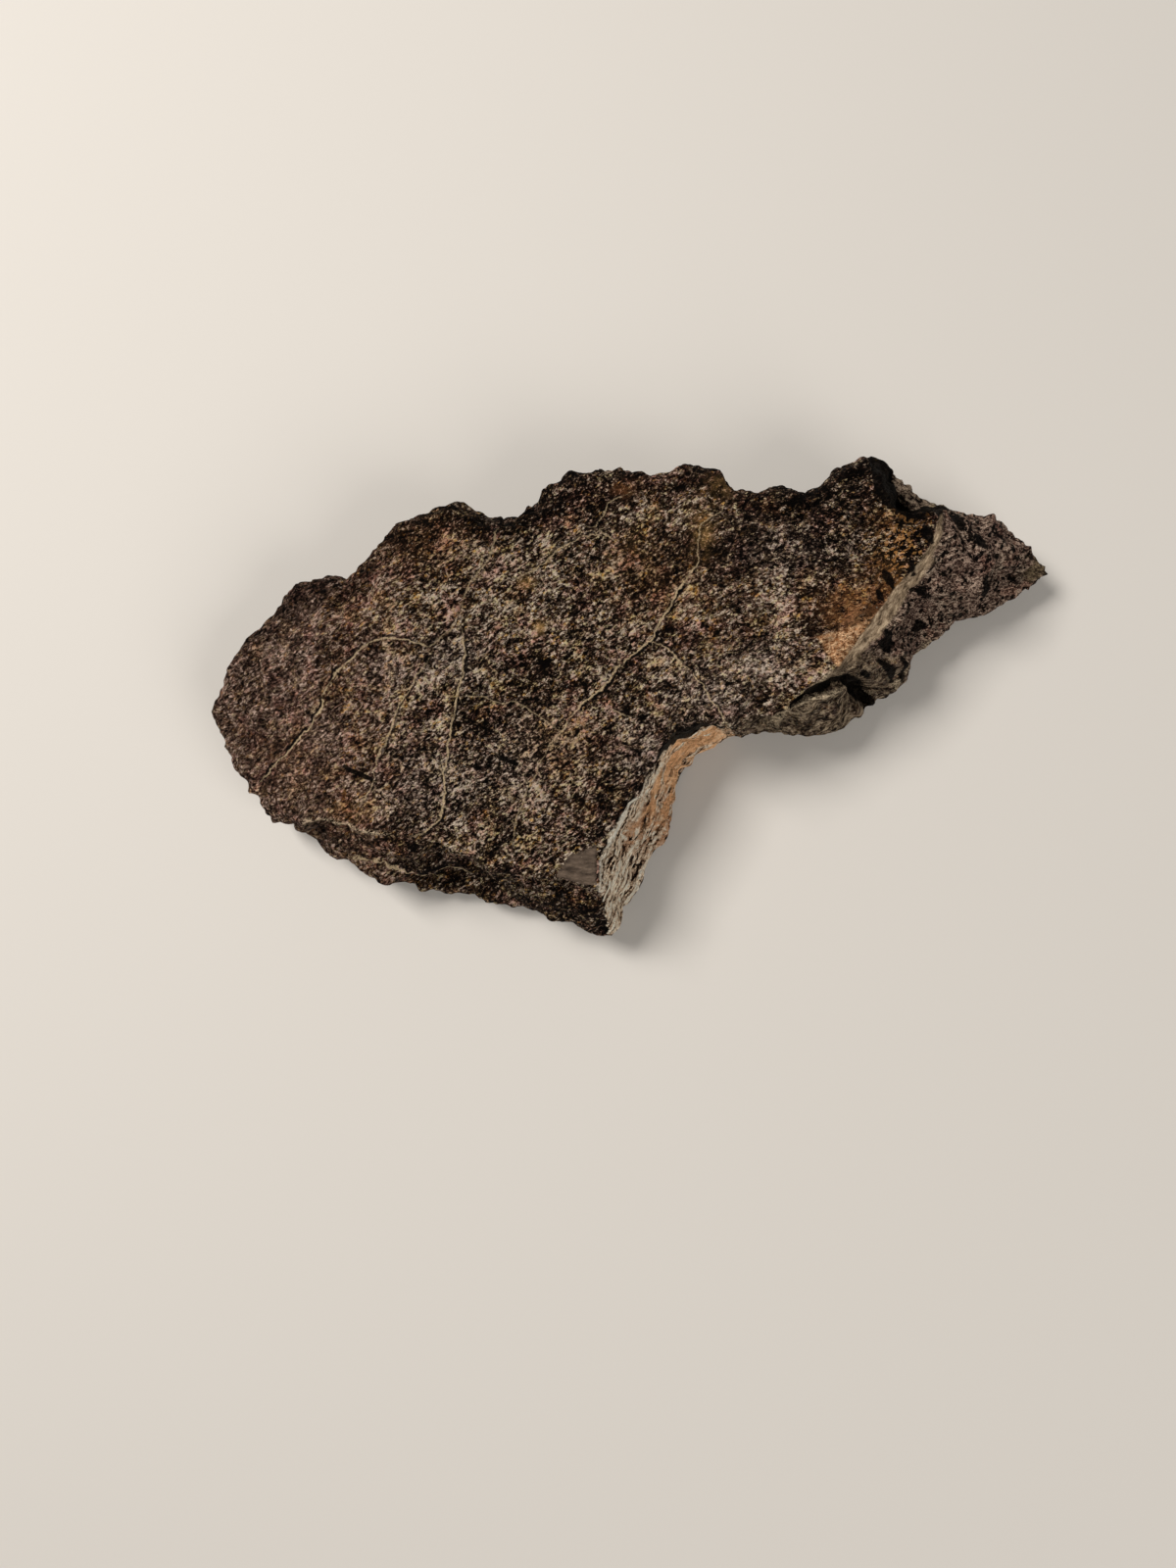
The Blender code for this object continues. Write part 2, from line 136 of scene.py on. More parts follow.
NORTH_RIBS = (
    BLUNT_TIP,
    # 1 to 12: the blunt end and the western scallops
    (-85.5, 26.5, 12.5, -82.0, 25.5, 0.9),
    (-82.5, 32.5, 13.0, -79.5, 30.5, 0.9),
    (-74.5, 40.0, 12.0, -72.0, 37.5, 1.0),
    (-69.0, 46.5, 14.0, -67.5, 43.0, 1.0),
    (-60.0, 49.0, 16.0, -60.0, 45.5, 1.0),
    (-56.5, 48.5, 14.5, -55.5, 45.5, 1.0),
    (-52.5, 52.0, 15.0, -50.5, 49.5, 1.0),
    (-47.0, 58.0, 16.0, -45.0, 55.0, 1.0),
    (-39.0, 63.0, 19.0, -38.0, 59.5, 1.0),
    (-31.0, 65.5, 20.0, -31.0, 62.0, 1.0),
    (-25.5, 63.0, 18.0, -26.0, 59.5, 1.0),
    (-19.5, 61.0, 15.0, -20.0, 57.5, 1.0),
    # 13 to 21: the middle scallops
    (-10.0, 66.0, 17.0, -10.0, 62.5, 1.0),
    (-1.0, 71.0, 20.0, -1.0, 67.5, 1.0),
    (8.0, 73.5, 22.0, 8.0, 70.0, 1.0),
    (15.0, 72.0, 19.0, 15.0, 68.5, 1.0),
    (22.5, 74.5, 21.0, 22.5, 71.0, 1.0),
    (31.0, 73.0, 21.0, 30.0, 69.5, 1.0),
    (34.5, 69.0, 17.0, 34.0, 65.5, 1.0),
    (41.0, 68.5, 16.0, 41.0, 65.0, 1.0),
    (51.0, 66.5, 18.0, 51.5, 63.0, 1.0),
    # 22 to 27: the knob, and the low facet east of it
    (59.0, 73.5, 20.0, 59.5, 69.5, 0.9),
    (64.5, 76.5, 20.0, 63.8, 73.2, 0.7),
    (69.0, 76.0, 19.0, 65.6, 70.8, -0.1),
    (73.0, 73.0, 18.0, 66.8, 66.0, -0.35),
    (79.0, 68.0, 17.0, 69.4, 61.8, -0.35),
    (83.0, 65.5, 16.5, 78.5, 61.2, -0.2),
    # 28 to 30: the north side of the flank
    (97.5, 63.0, 13.5, 80.0, 57.5, 0.2),
    (105.5, 57.5, 11.5, 78.5, 55.0, 0.2),
    POINTED_TIP,
)
SPINE = ((-60.0, 17.5), (-30.0, 21.0), (-4.0, 20.0), (21.0, 39.0), (41.0, 39.5), (57.0, 46.0))
print(len(SOUTH_RIBS), "south ribs,", len(NORTH_RIBS), "north ribs")

# %% [markdown]
# ## Reading the ribs at every column
#
# The skin is one surface of two parameters. Columns run round the stone, rings run from the
# middle of the face over the rim, down the side and across the underside. Every column needs
# its own rib, so the table is read between its rows. We also keep each column's rib number,
# which later tells the fracture wall from the flank without a second table.

# %% Columns round the stone
COLUMNS_PER_EDGE = 450
SPINE_BUNCHING = 0.7
COLUMNS = 2 * COLUMNS_PER_EDGE


def reach_of(points):
    """Length along a line up to each of its points, as a share of the whole."""
    steps = np.linalg.norm(np.diff(points, axis=0), axis=1)
    return np.concatenate([[0.0], np.cumsum(steps)]) / steps.sum()


def read_ribs(ribs):
    """The rib table at every column of one edge, with the rib's number as a last value.
    Ribs fall on whole columns, spaced by the girdle's length, and lie straight between."""
    order = np.arange(len(ribs))
    table = np.column_stack([ribs, order])
    knots = np.round(reach_of(table[:, :2]) * COLUMNS_PER_EDGE)
    at = np.arange(COLUMNS_PER_EDGE + 1)
    return np.stack([np.interp(at, knots, values) for values in table.T], axis=1)


def read_spine():
    """The spine at every column: even steps less a sine, which bunches columns at its ends."""
    even = np.linspace(0.0, 1.0, COLUMNS_PER_EDGE + 1)
    at = even - SPINE_BUNCHING * np.sin(2.0 * np.pi * even) / (2.0 * np.pi)
    spine = np.array(SPINE)
    return np.stack([np.interp(at, reach_of(spine), values) for values in spine.T], axis=1)


def round_trip(south, north):
    """One closed run of columns: the south edge outward, then the north edge back."""
    return np.concatenate([south[:-1], north[:0:-1]])


ribs = round_trip(read_ribs(SOUTH_RIBS), read_ribs(NORTH_RIBS))
spine = round_trip(read_spine(), read_spine())
rib_number = ribs[:, 6]
on_south = np.arange(COLUMNS) < COLUMNS_PER_EDGE
girdle_steps = np.linalg.norm(np.diff(ribs[:, :2], axis=0), axis=1)
print(COLUMNS, "columns, girdle", round(girdle_steps.sum()), "mm")

# %% [markdown]
# ## Smooth fields to build with
#
# Broken stone has forms at every size. Three kinds of field cover them: plane waves in many
# directions give slow swells, the same waves with their sign taken away meet in sharp ridges
# like those between shell-shaped breaks, and a grid of tilted little planes gives chips. All
# three are plain functions of a place in space, so they run over rims and edges unbroken.

# %% Waves, scoops and chips
WAVES_PER_FIELD = 28
WAVE_MEAN = 0.5
HASH_WAY = np.array([127.1, 311.7, 74.7])
HASH_SPREAD = 43758.5453


def unit(vectors):
    """The same vectors with length 1."""
    return vectors / np.linalg.norm(vectors, axis=-1, keepdims=True)


def smooth_step(value, start, end):
    """0 before start, 1 after end, and between them 3t squared less 2t cubed."""
    share = np.clip((value - start) / (end - start), 0.0, 1.0)
    return share * share * (3.0 - 2.0 * share)


def waves(points, wavelength, seed, stretch=(1.0, 1.0, 1.0)):
    """A random field about 1 high: the sum of plane waves in seeded directions, over the
    root of their number. Stretch makes it longer along an axis."""
    random = np.random.default_rng(seed)
    ways = unit(random.normal(size=(WAVES_PER_FIELD, 3))) * 2.0 * np.pi / wavelength / stretch
    phases = random.uniform(0.0, 2.0 * np.pi, WAVES_PER_FIELD)
    return np.sin(points @ ways.T + phases).sum(axis=-1) / np.sqrt(WAVES_PER_FIELD)


def scoops(points, wavelength, seed):
    """Hollows that meet in sharp ridges: the mean of a wave field's size, less its size."""
    return WAVE_MEAN - abs(waves(points, wavelength, seed))


def chance(cells, salt):
    """A number from 0 to 1 for each whole-numbered cell: the broken part of a large sine."""
    return np.modf(np.abs(np.sin(cells @ HASH_WAY + salt) * HASH_SPREAD))[0]


def chips(points, size, tilt, step, edge, seed):
    """Chipped planes: each cell of a grid holds one seed with a tilted, raised or sunk plane.
    A point takes the planes of the 27 cells round it, weighted by e to minus distance / edge."""
    home = np.floor(points / size)
    total, weights = 0.0, 0.0
    for shift in np.ndindex(3, 3, 3):
        cell = home + shift - 1.0
        luck = np.stack([chance(cell, seed + salt) for salt in range(7)], axis=-1)
        offset = points - (cell + luck[..., :3]) * size
        weight = np.exp(-np.linalg.norm(offset, axis=-1) / edge)
        lean = ((2.0 * luck[..., 3:6] - 1.0) * tilt * offset).sum(axis=-1)
        total = total + weight * (lean + (2.0 * luck[..., 6] - 1.0) * step)
        weights = weights + weight
    return total / weights


print("fields ready: waves, scoops, chips")

# %% [markdown]
# ## The skin before its relief
#
# From the spine out to the rim lies the flat face, which sags towards the blunt end. Over the
# rim each column follows its rib: straight for a crisp break, a quarter of an ellipse for a
# round brow. Under the girdle it tucks in to the foot, and then runs back to the middle of
# the underside, which rises slowly round the small flat spot that the stone lies on.

# %% The flat face, the side and the underside
FACE_RINGS, SIDE_RINGS, UNDER_RINGS = 56, 36, 12
PROFILE_STEPS = 48
FIRST_RING = 0.5
FACE_HEIGHT = 27.5
BLUNT_END_DROP, BLUNT_END_FROM, BLUNT_END_TO = 8.5, 35.0, 90.0
ROUND_RIM_DROP, ROUND_RIM_FROM = 3.0, 0.65
SPOT_CENTRE, SPOT_RADII = (0.0, 26.0), (18.0, 13.0)
UNDER_SLOPE, LEAST_UNDER_SLOPE = 0.065, 0.03
TUCK_SHARE, TUCK_SWELL, TUCK_WAVELENGTH, TUCK_SEED = 0.42, 0.4, 48.0, 41
FOOT_EASE = 18.0


def face_height(x, out, roundness):
    """The face's height, less a smooth drop at the blunt end and one towards a round rim."""
    blunt = smooth_step(-x, BLUNT_END_FROM, BLUNT_END_TO)
    near_rim = smooth_step(out, ROUND_RIM_FROM, 1.0)
    return FACE_HEIGHT - BLUNT_END_DROP * blunt - ROUND_RIM_DROP * roundness * near_rim


def beyond_spot(x, y):
    """Distance outside the flat spot's ellipse, and 0 within it."""
    across = np.hypot((x - SPOT_CENTRE[0]) / SPOT_RADII[0], (y - SPOT_CENTRE[1]) / SPOT_RADII[1])
    return np.maximum(across - 1.0, 0.0) * np.mean(SPOT_RADII)


def with_height(plan, height):
    """Plan points (x, y) with their heights joined on."""
    return np.concatenate([plan, height[..., None]], axis=-1)


def eased(line, width):
    """A closed line smoothed by a bell curve of that width in columns, by its spectrum."""
    turns = np.fft.rfftfreq(len(line))[:, None]
    damping = np.exp(-2.0 * (np.pi * turns * width) ** 2)
    return np.fft.irfft(np.fft.rfft(line, axis=0) * damping, len(line), axis=0)


def even_rings(path, rings):
    """Each column's path read again at evenly spaced lengths, without its first point."""
    steps = np.linalg.norm(np.diff(path, axis=0), axis=2)
    reach = np.concatenate([np.zeros((1, path.shape[1])), np.cumsum(steps, axis=0)])
    wanted = reach[-1] * (np.arange(1, rings + 1) / rings)[:, None]
    before = np.clip((reach[None] < wanted[:, None]).sum(axis=1) - 1, 0, len(steps) - 1)
    column = np.arange(path.shape[1])
    share = (wanted - reach[before, column]) / steps[before, column]
    start, end = path[before, column], path[before + 1, column]
    return start + (end - start) * share[..., None]


girdle, girdle_z, rim, roundness = ribs[:, :2], ribs[:, 2], ribs[:, 3:5], ribs[:, 5]
out = ((np.arange(FACE_RINGS) + FIRST_RING) / (FACE_RINGS - 1 + FIRST_RING))[:, None]
face_plan = spine + (rim - spine) * out[..., None]
face = with_height(face_plan, face_height(face_plan[..., 0], out, roundness))

down = np.linspace(0.0, 1.0, PROFILE_STEPS)[:, None]
quarter = down * np.pi / 2
outward = down + roundness * (np.sin(quarter) - down)
fall = down + roundness * (1.0 - np.cos(quarter) - down)
rim_z = face_height(rim[:, 0], 1.0, roundness)
brow = with_height(rim + (girdle - rim) * outward[..., None], rim_z + (girdle_z - rim_z) * fall)

swell = 1.0 + TUCK_SWELL * waves(ribs[:, :3], TUCK_WAVELENGTH, TUCK_SEED)
foot = eased(girdle + unit(spine - girdle) * (TUCK_SHARE * swell * girdle_z)[:, None], FOOT_EASE)
foot_z = UNDER_SLOPE * beyond_spot(*foot.T)
tuck_plan = girdle + (foot - girdle) * (1.0 - np.cos(quarter))[..., None]
tuck = with_height(tuck_plan, girdle_z + (foot_z - girdle_z) * np.sin(quarter))
side = even_rings(np.concatenate([brow, tuck[1:]]), SIDE_RINGS)

back = 1.0 - (np.arange(1, UNDER_RINGS + 1) / (UNDER_RINGS + FIRST_RING))[:, None, None]
under_plan = spine + (foot - spine) * back
under = with_height(under_plan, UNDER_SLOPE * beyond_spot(under_plan[..., 0], under_plan[..., 1]))
plain = np.concatenate([face, side, under])
RINGS = len(plain)
print(RINGS, "rings of", COLUMNS, "columns")

# %% [markdown]
# ## Where each finish lies
#
# The stone broke in several ways, and each break has its own skin: the flat face is crumbly
# and flecked, the fracture wall is pale and grooved, the flank is grey and pitted, the bevel
# along the east ridge is rubbed smooth. We mark them with masks from 0 to 1 on the same grid,
# from the ring (past the rim or not) and the rib number, so that they end where the forms do.

# %% Masks on the grid
SOUTH, NORTH = True, False
BEFORE_FIRST, PAST_LAST = -10.0, 40.0
# Rib numbers where one break gives way to the next
BAND_START, SHARP_CORNER, WALL_END = 6.0, 15.97, 26.2
STRIP_START, STRIP_END, LOBES_START, FLANK_START = 26.0, 27.2, 26.6, 31.4
SCARP_START, FACET_START, FACET_END, NORTH_FLANK_START = 23.2, 24.0, 26.8, 27.3
CRISP, SOFTER, SOFT, SOFTEST = 0.12, 0.3, 0.5, 0.6
past_rim = ((np.arange(RINGS) - FACE_RINGS + 1) / SIDE_RINGS)[:, None]


def stretch(south, first, last, soft=SOFT):
    """1 between two rib numbers on one edge, and 0 outside, with ends as soft as given."""
    inside = smooth_step(rib_number, first - soft, first + soft)
    inside = inside * smooth_step(rib_number, last + soft, last - soft)
    return inside * (on_south == south)


over_rim = smooth_step(past_rim, 0.0, 0.04)
on_side = over_rim * smooth_step(past_rim, 1.05, 0.95)
wall = on_side * stretch(SOUTH, SHARP_CORNER, PAST_LAST, CRISP)
wall = wall * stretch(SOUTH, BEFORE_FIRST, WALL_END, SOFTEST)
band = on_side * stretch(SOUTH, BAND_START, SHARP_CORNER, CRISP)
strip = on_side * stretch(SOUTH, STRIP_START, STRIP_END, SOFTER)
lobes = on_side * stretch(SOUTH, LOBES_START, FLANK_START)
north_flank = stretch(NORTH, NORTH_FLANK_START, PAST_LAST)
flank = on_side * np.maximum(stretch(SOUTH, FLANK_START, PAST_LAST), north_flank)
facet = on_side * stretch(NORTH, FACET_START, FACET_END)
print("wall", round(wall.mean(), 3), "band", round(band.mean(), 3), "flank", round(flank.mean(), 3))

# %% How far along an edge each column lies, and how far down the side each ring
middle_steps = np.linalg.norm(np.diff((rim + girdle) / 2.0, axis=0), axis=1)
run = np.broadcast_to(np.concatenate([[0.0], np.cumsum(middle_steps)]), (RINGS, COLUMNS))
side_rows = plain[FACE_RINGS - 1 : FACE_RINGS + SIDE_RINGS]
drop = past_rim * np.linalg.norm(np.diff(side_rows, axis=0), axis=2).sum(axis=0)
print("edge", round(run.max()), "mm round, side up to", round(drop.max()), "mm down")

# %% [markdown]
# ## Lines and areas on the plan
#
# Some finishes end at lines that no ring or rib follows, such as the bevel beside the ridge.
# For those we draw lines and small areas on the plan, and give every vertex its
# distance to them. A distance can then be cut off sharply or softly, as the finish asks.


# %% Distance to lines and areas drawn on the plan
def to_line(x, y, line):
    """Signed distance to the nearest piece of a line of points, and how far along it that
    is from 0 to 1. Left of the line is positive."""
    line = np.array(line)
    reach = reach_of(line)
    best, sign, along = np.full(x.shape, np.inf), np.ones(x.shape), np.zeros(x.shape)
    for start, end, from_reach, to_reach in zip(line[:-1], line[1:], reach[:-1], reach[1:]):
        way = end - start
        share = np.clip(((x - start[0]) * way[0] + (y - start[1]) * way[1]) / (way @ way), 0.0, 1.0)
        gap = np.hypot(x - start[0] - share * way[0], y - start[1] - share * way[1])
        side_of = np.where(way[0] * (y - start[1]) - way[1] * (x - start[0]) < 0.0, -1.0, 1.0)
        nearer = gap < best
        sign = np.where(nearer, side_of, sign)
        along = np.where(nearer, from_reach + share * (to_reach - from_reach), along)
        best = np.where(nearer, gap, best)
    return best * sign, along


def into_area(x, y, corners):
    """Distance inside a convex area whose corners run anticlockwise, negative outside: the
    smallest of the distances to its sides."""
    corners = np.array(corners)
    depths = []
    for start, end in zip(corners, np.roll(corners, -1, axis=0)):
        way = (end - start) / np.linalg.norm(end - start)
        depths.append(way[0] * (y - start[1]) - way[1] * (x - start[0]))
    return np.min(depths, axis=0)


EAST_RIDGE = ((41.5, 13.0), (47.0, 16.0), (51.0, 20.0), (56.0, 25.5), (58.5, 27.5),
              (63.0, 34.0), (67.0, 40.0), (72.0, 46.0), (75.5, 50.0), (78.5, 55.0), (80.0, 60.5))
# The bevel's width at shares of the ridge's length
BEVEL_WIDTHS = ((0.0, 0.6), (0.2, 0.9), (0.32, 1.3), (0.45, 2.0),
                (0.6, 3.0), (0.8, 2.8), (0.92, 1.8), (1.0, 1.0))
TIP_FACET = ((108.4, 45.4), (110.4, 48.4), (113.4, 51.2),
             (111.0, 53.8), (108.4, 56.0), (107.6, 50.0))
SCARP_FOOT = ((70.6, 76.0), (71.4, 73.0), (73.3, 68.6), (76.0, 65.0), (80.0, 64.2))
SMOOTH_PATCH = ((-7.5, -23.5), (2.2, -24.5), (2.6, -14.8), (-3.8, -17.5))
x, y = plain[..., 0], plain[..., 1]
ridge_gap, ridge_along = to_line(x, y, EAST_RIDGE)
patch_depth = into_area(x, y, SMOOTH_PATCH)
tip = smooth_step(into_area(x, y, TIP_FACET), -0.2, 0.3) * over_rim
RIDGE_LENGTH = np.linalg.norm(np.diff(EAST_RIDGE, axis=0), axis=1).sum()
print("ridge passes", round(np.abs(ridge_gap).min(), 2), "mm from the nearest vertex")

# %% [markdown]
# ## The large relief
#
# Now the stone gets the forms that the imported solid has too: the knob and the hollow behind
# it, the two lobes and the crevice, the big pits, and the broken facets. Each lump is a bell
# of the distance times a push. Nearly all repeat the solid's own values, so the fine skin lies
# on the solid and not beside it. The dip at the notch and a small bulge of the knob are added.

# %% Lumps, swells and broken facets
# Middle (x, y, z), radii and push of each lump or hollow
LUMPS = (
    # The knob on the north edge, and the hollow that drops away east of it
    ((63.0, 69.0, 27.0), (7.0, 8.0, 12.0), (0.0, 0.0, 1.8)),
    ((74.0, 67.5, 21.0), (4.5, 3.5, 9.0), (0.0, 0.0, -1.2)),
    ((70.0, 72.5, 20.0), (4.0, 4.0, 9.0), (1.5, 0.9, 0.0)),
    # The two lobes below the ridge, and the crevice between them
    ((71.0, 26.5, 11.0), (9.0, 6.5, 8.0), (1.2, -1.2, 1.4)),
    ((58.5, 15.5, 11.0), (9.0, 4.5, 7.0), (0.6, -1.4, 1.2)),
    ((66.0, 20.5, 13.0), (6.0, 2.4, 9.0), (-2.0, 2.0, -2.0)),
    # The long pit near the blunt end
    ((-53.0, 1.5, 26.0), (4.5, 2.6, 8.0), (0.0, 0.0, -1.6)),
    # The notch under the rim, where the wall turns east
    ((24.3, 11.4, 26.5), (4.6, 2.1, 5.0), (0.0, 0.0, -4.2)),
    # The larger pits of the flank
    ((69.5, 33.0, 20.0), (3.0, 3.0, 4.0), (-1.2, 0.6, -1.6)),
    ((79.0, 42.0, 17.0), (3.2, 3.2, 4.0), (-1.0, 0.5, -1.4)),
    ((96.0, 48.5, 17.0), (3.2, 2.8, 4.0), (-0.8, 0.0, -1.6)),
    ((87.0, 57.0, 20.0), (3.4, 3.0, 4.0), (-0.6, -0.2, -1.4)),
    # The ledge along the foot of the south band
    ((-45.0, -20.5, 11.0), (18.0, 5.0, 3.0), (0.0, -0.8, 2.0)),
)
# Length, height and seed of each wave field
SWELLS = ((30.0, 0.5, 11), (9.0, 0.2, 13))
SCOOPS = ((22.0, 0.9, 31), (12.0, 0.5, 32))
FACET_COUNT, FACET_TILT, FACET_STEP, FACET_EDGE, FACET_SEED = 170, 0.15, 0.6, 1.2, 24
FACET_BOX = ((-92.0, -38.0, 0.0), (114.0, 78.0, 28.0))


def lumps(points):
    """Each lump or hollow is its push, times e to minus the square of the distance, which is
    measured in the lump's own radii."""
    total = np.zeros(points.shape)
    for middle, radii, push in LUMPS:
        distance = (points - np.array(middle)) / np.array(radii)
        total += np.array(push) * np.exp(-(distance**2).sum(axis=2, keepdims=True))
    return total


def facets(points):
    """Broken facets: seeds strewn through a box each carry a tilted plane, and a point takes
    the planes of the seeds near it, weighted so that the nearest seed's plane rules."""
    random = np.random.default_rng(FACET_SEED)
    seeds = random.uniform(*FACET_BOX, (FACET_COUNT, 3))
    tilts = random.normal(scale=FACET_TILT, size=(FACET_COUNT, 3))
    steps = random.normal(scale=FACET_STEP, size=FACET_COUNT)
    planes = points @ tilts.T - (seeds * tilts).sum(axis=1) + steps
    square = (points**2).sum(axis=2, keepdims=True) - 2.0 * points @ seeds.T
    square = square + (seeds**2).sum(axis=1)
    distance = np.sqrt(np.maximum(square, 0.0))
    weight = np.exp((distance.min(axis=2, keepdims=True) - distance) / FACET_EDGE)
    return (weight * planes).sum(axis=2) / weight.sum(axis=2)


# Courses that a fold follows, the fold's half width, its push and how pale its top is
CREASES = (
    # The gap under the ridge, the lower lobe's crest, and the crevice between the lobes
    (((47.0, 15.4), (52.3, 20.0), (57.0, 22.6), (61.5, 24.6)), 1.2, (-0.8, 0.8, -3.0), 0.0),
    (((44.2, 12.4), (47.3, 14.9), (52.3, 18.0), (56.9, 20.2), (60.1, 21.6)),
     0.5, (0.4, -0.4, 1.0), 0.8),
    # The ledge along the foot of the south band
    (((-60.0, -15.5), (-51.1, -18.8), (-44.1, -21.7), (-35.8, -22.6), (-27.1, -25.0),
      (-21.0, -27.5)), 0.9, (0.0, -0.6, 0.7), 0.0),
    (((60.0, 24.6), (64.5, 21.8), (70.0, 18.8)), 1.7, (-1.2, 1.2, -4.2), 0.0),
    # The groove in the fracture wall, beside its crest
    (((15.0, -1.5), (12.6, -5.9), (10.5, -9.6), (9.6, -13.5), (9.9, -16.5)),
     1.0, (-1.2, 0.4, -1.2), 0.0),
    # The black hollow under the rim where the wall turns east
    (((19.5, 9.0), (22.0, 10.4), (25.0, 11.4), (28.0, 12.4)), 1.4, (0.0, 0.6, -2.2), 0.0),
    # The foot of the scarp east of the knob
    (((70.8, 73.5), (72.4, 69.0), (75.0, 65.4), (79.0, 64.0)), 1.3, (0.0, 0.0, -1.3), 0.0),
    # The pale lips of the south rim, the low end of the ridge, and the flank's lower edge
    (((-66.0, -9.3), (-58.0, -9.8), (-51.0, -11.8), (-44.0, -12.2)), 0.4, (0.0, 0.0, 0.4), 0.85),
    (((43.4, 12.4), (47.0, 16.0), (51.0, 20.0), (56.0, 25.2)), 0.45, (0.0, 0.0, 0.3), 0.9),
    (((74.2, 21.8), (75.2, 26.4), (77.4, 31.0), (80.4, 34.6), (84.0, 36.8)),
     0.7, (0.2, -0.2, 0.5), 0.9),
    # The step beside the small facet at the tip
    (((106.9, 56.4), (105.7, 50.5), (106.0, 45.6)), 0.8, (-0.4, 0.0, -1.2), 0.0),
)
FOLD_END = 0.08
NEAR_FOOT = 0.8

# Courses, half widths and reach down the side of the painted shadow: places that face away
# from the light, or open into a gap, are painted near black as the shade in them
TO_FOOT = 60.0
SHADOW_COURSES = (
    (((17.8, 6.6), (20.3, 8.8), (24.5, 10.9), (29.2, 13.0)), 1.9, 15.0),
    (((65.4, 73.4), (66.2, 69.6), (66.7, 66.2), (68.6, 63.2), (70.8, 61.8)), 1.7, TO_FOOT),
    (((69.5, 62.2), (73.0, 60.9), (77.0, 60.5)), 0.6, TO_FOOT),
    # The gaps between the coarse grains above the ridge
    (((76.9, 58.4), (78.0, 54.8)), 1.0, TO_FOOT),
    (((67.6, 48.0), (69.6, 44.8)), 1.1, TO_FOOT),
    (((66.0, 43.4), (67.2, 41.6)), 0.8, TO_FOOT),
    (((73.6, 50.2), (74.4, 47.6)), 0.7, TO_FOOT),
    (((16.4, 4.0), (18.2, 7.2), (20.4, 9.4)), 0.5, 9.0),
    (((47.4, 16.0), (52.3, 20.4), (55.2, 21.8), (59.0, 23.2)), 1.0, TO_FOOT),
    (((59.6, 24.4), (63.3, 22.3), (66.4, 20.5), (69.8, 19.0)), 1.9, TO_FOOT),
    (((71.4, 30.6), (73.6, 27.8), (75.4, 25.4)), 0.8, TO_FOOT),
    (((14.2, -2.6), (12.4, -6.2), (10.6, -9.8), (10.0, -13.5)), 0.4, 5.0),
    (((67.9, 34.9), (68.7, 31.7)), 2.2, TO_FOOT),
    (((67.0, 28.6), (70.5, 27.0), (73.5, 24.0)), 1.0, TO_FOOT),
    (((63.0, 26.0), (65.0, 25.0)), 0.6, TO_FOOT),
    (((77.6, 36.2), (80.0, 37.8)), 0.9, TO_FOOT),
    (((92.4, 48.8), (95.2, 45.2)), 2.0, TO_FOOT),
    (((84.0, 61.4), (86.0, 58.8)), 1.3, TO_FOOT),
    (((103.6, 49.4), (105.6, 46.9)), 1.3, TO_FOOT),
    (((89.0, 58.2), (91.4, 55.0)), 1.5, TO_FOOT),
    (((-55.4, 3.1), (-52.0, 1.2), (-49.0, 0.0)), 0.45, TO_FOOT),
    (((-19.7, 5.1), (-16.0, 3.8)), 0.35, TO_FOOT),
)
DARK_EDGE, DARK_FADE = 0.7, 5.0
DARK_ENDS = 0.45
DARK_STOPS = 0.9


def creases(points):
    """Each fold is its push, times e to minus the square of the distance from its course over
    its half width, and fades at the course's two ends. Also gives how pale each point is."""
    total, paleness = np.zeros(points.shape), np.zeros(points.shape[:2])
    for course, half_width, push, pale in CREASES:
        gap, along = to_line(points[..., 0], points[..., 1], course)
        bell = np.exp(-((gap / half_width) ** 2)) * (past_rim < NEAR_FOOT)
        bell = bell * smooth_step(along, 0.0, FOLD_END) * smooth_step(along, 1.0, 1.0 - FOLD_END)
        total += np.array(push) * bell[..., None]
        paleness += pale * bell
    return total, np.clip(paleness, 0.0, 1.0)


def paint_shadows(x, y):
    """1 within its half width of each course of painted shadow, 0 outside, narrowing to its ends."""
    total = np.zeros(x.shape)
    for course, half_width, reach_down in SHADOW_COURSES:
        gap, along = to_line(x, y, course)
        width = half_width * (DARK_ENDS + (1.0 - DARK_ENDS) * np.sin(np.pi * along))
        near = smooth_step(np.abs(gap), width + DARK_EDGE, np.maximum(width - DARK_EDGE, 0.0))
        total = np.maximum(total, near * smooth_step(drop, reach_down, reach_down - DARK_FADE))
    return total * (past_rim < DARK_STOPS)


folds, crest = creases(plain)
painted_shadow = paint_shadows(x, y)
# The scarp east of the knob faces away from the light, so it joins the painted shadow
scarp_gap, _ = to_line(x, y, SCARP_FOOT)
scarp = over_rim * stretch(NORTH, SCARP_START, NORTH_FLANK_START, SOFTER)
scarp = scarp * smooth_step(scarp_gap, 0.7, 0.1) * (past_rim < NEAR_FOOT)
painted_shadow = np.maximum(painted_shadow, scarp)
broken = facets(plain)
broken += sum(height * waves(plain, length, seed) for length, height, seed in SWELLS)
broken += sum(height * scoops(plain, length, seed) for length, height, seed in SCOOPS)
print("broken relief, mm:", round(broken.min(), 2), "to", round(broken.max(), 2))

# %% [markdown]
# ## How much relief each place takes
#
# The flat face keeps half of the large relief, the outline an eighth, so that it stays as
# surveyed, and the flat spot none. The push goes along smoothed normals: raw ones would cross
# over at sharp edges and fold the skin into itself.

# %% Shares of the relief, and smoothed normals
FACE_SHARE, SIDE_FADE = 0.5, 0.25
SPOT_FADE = 1.6
LOW_SHARE, LOW_FADE = 0.3, (2.0, 9.0)
GIRDLE_SHARE, GIRDLE_FADE = 0.12, 5.0
NORMAL_EASE = 3.0


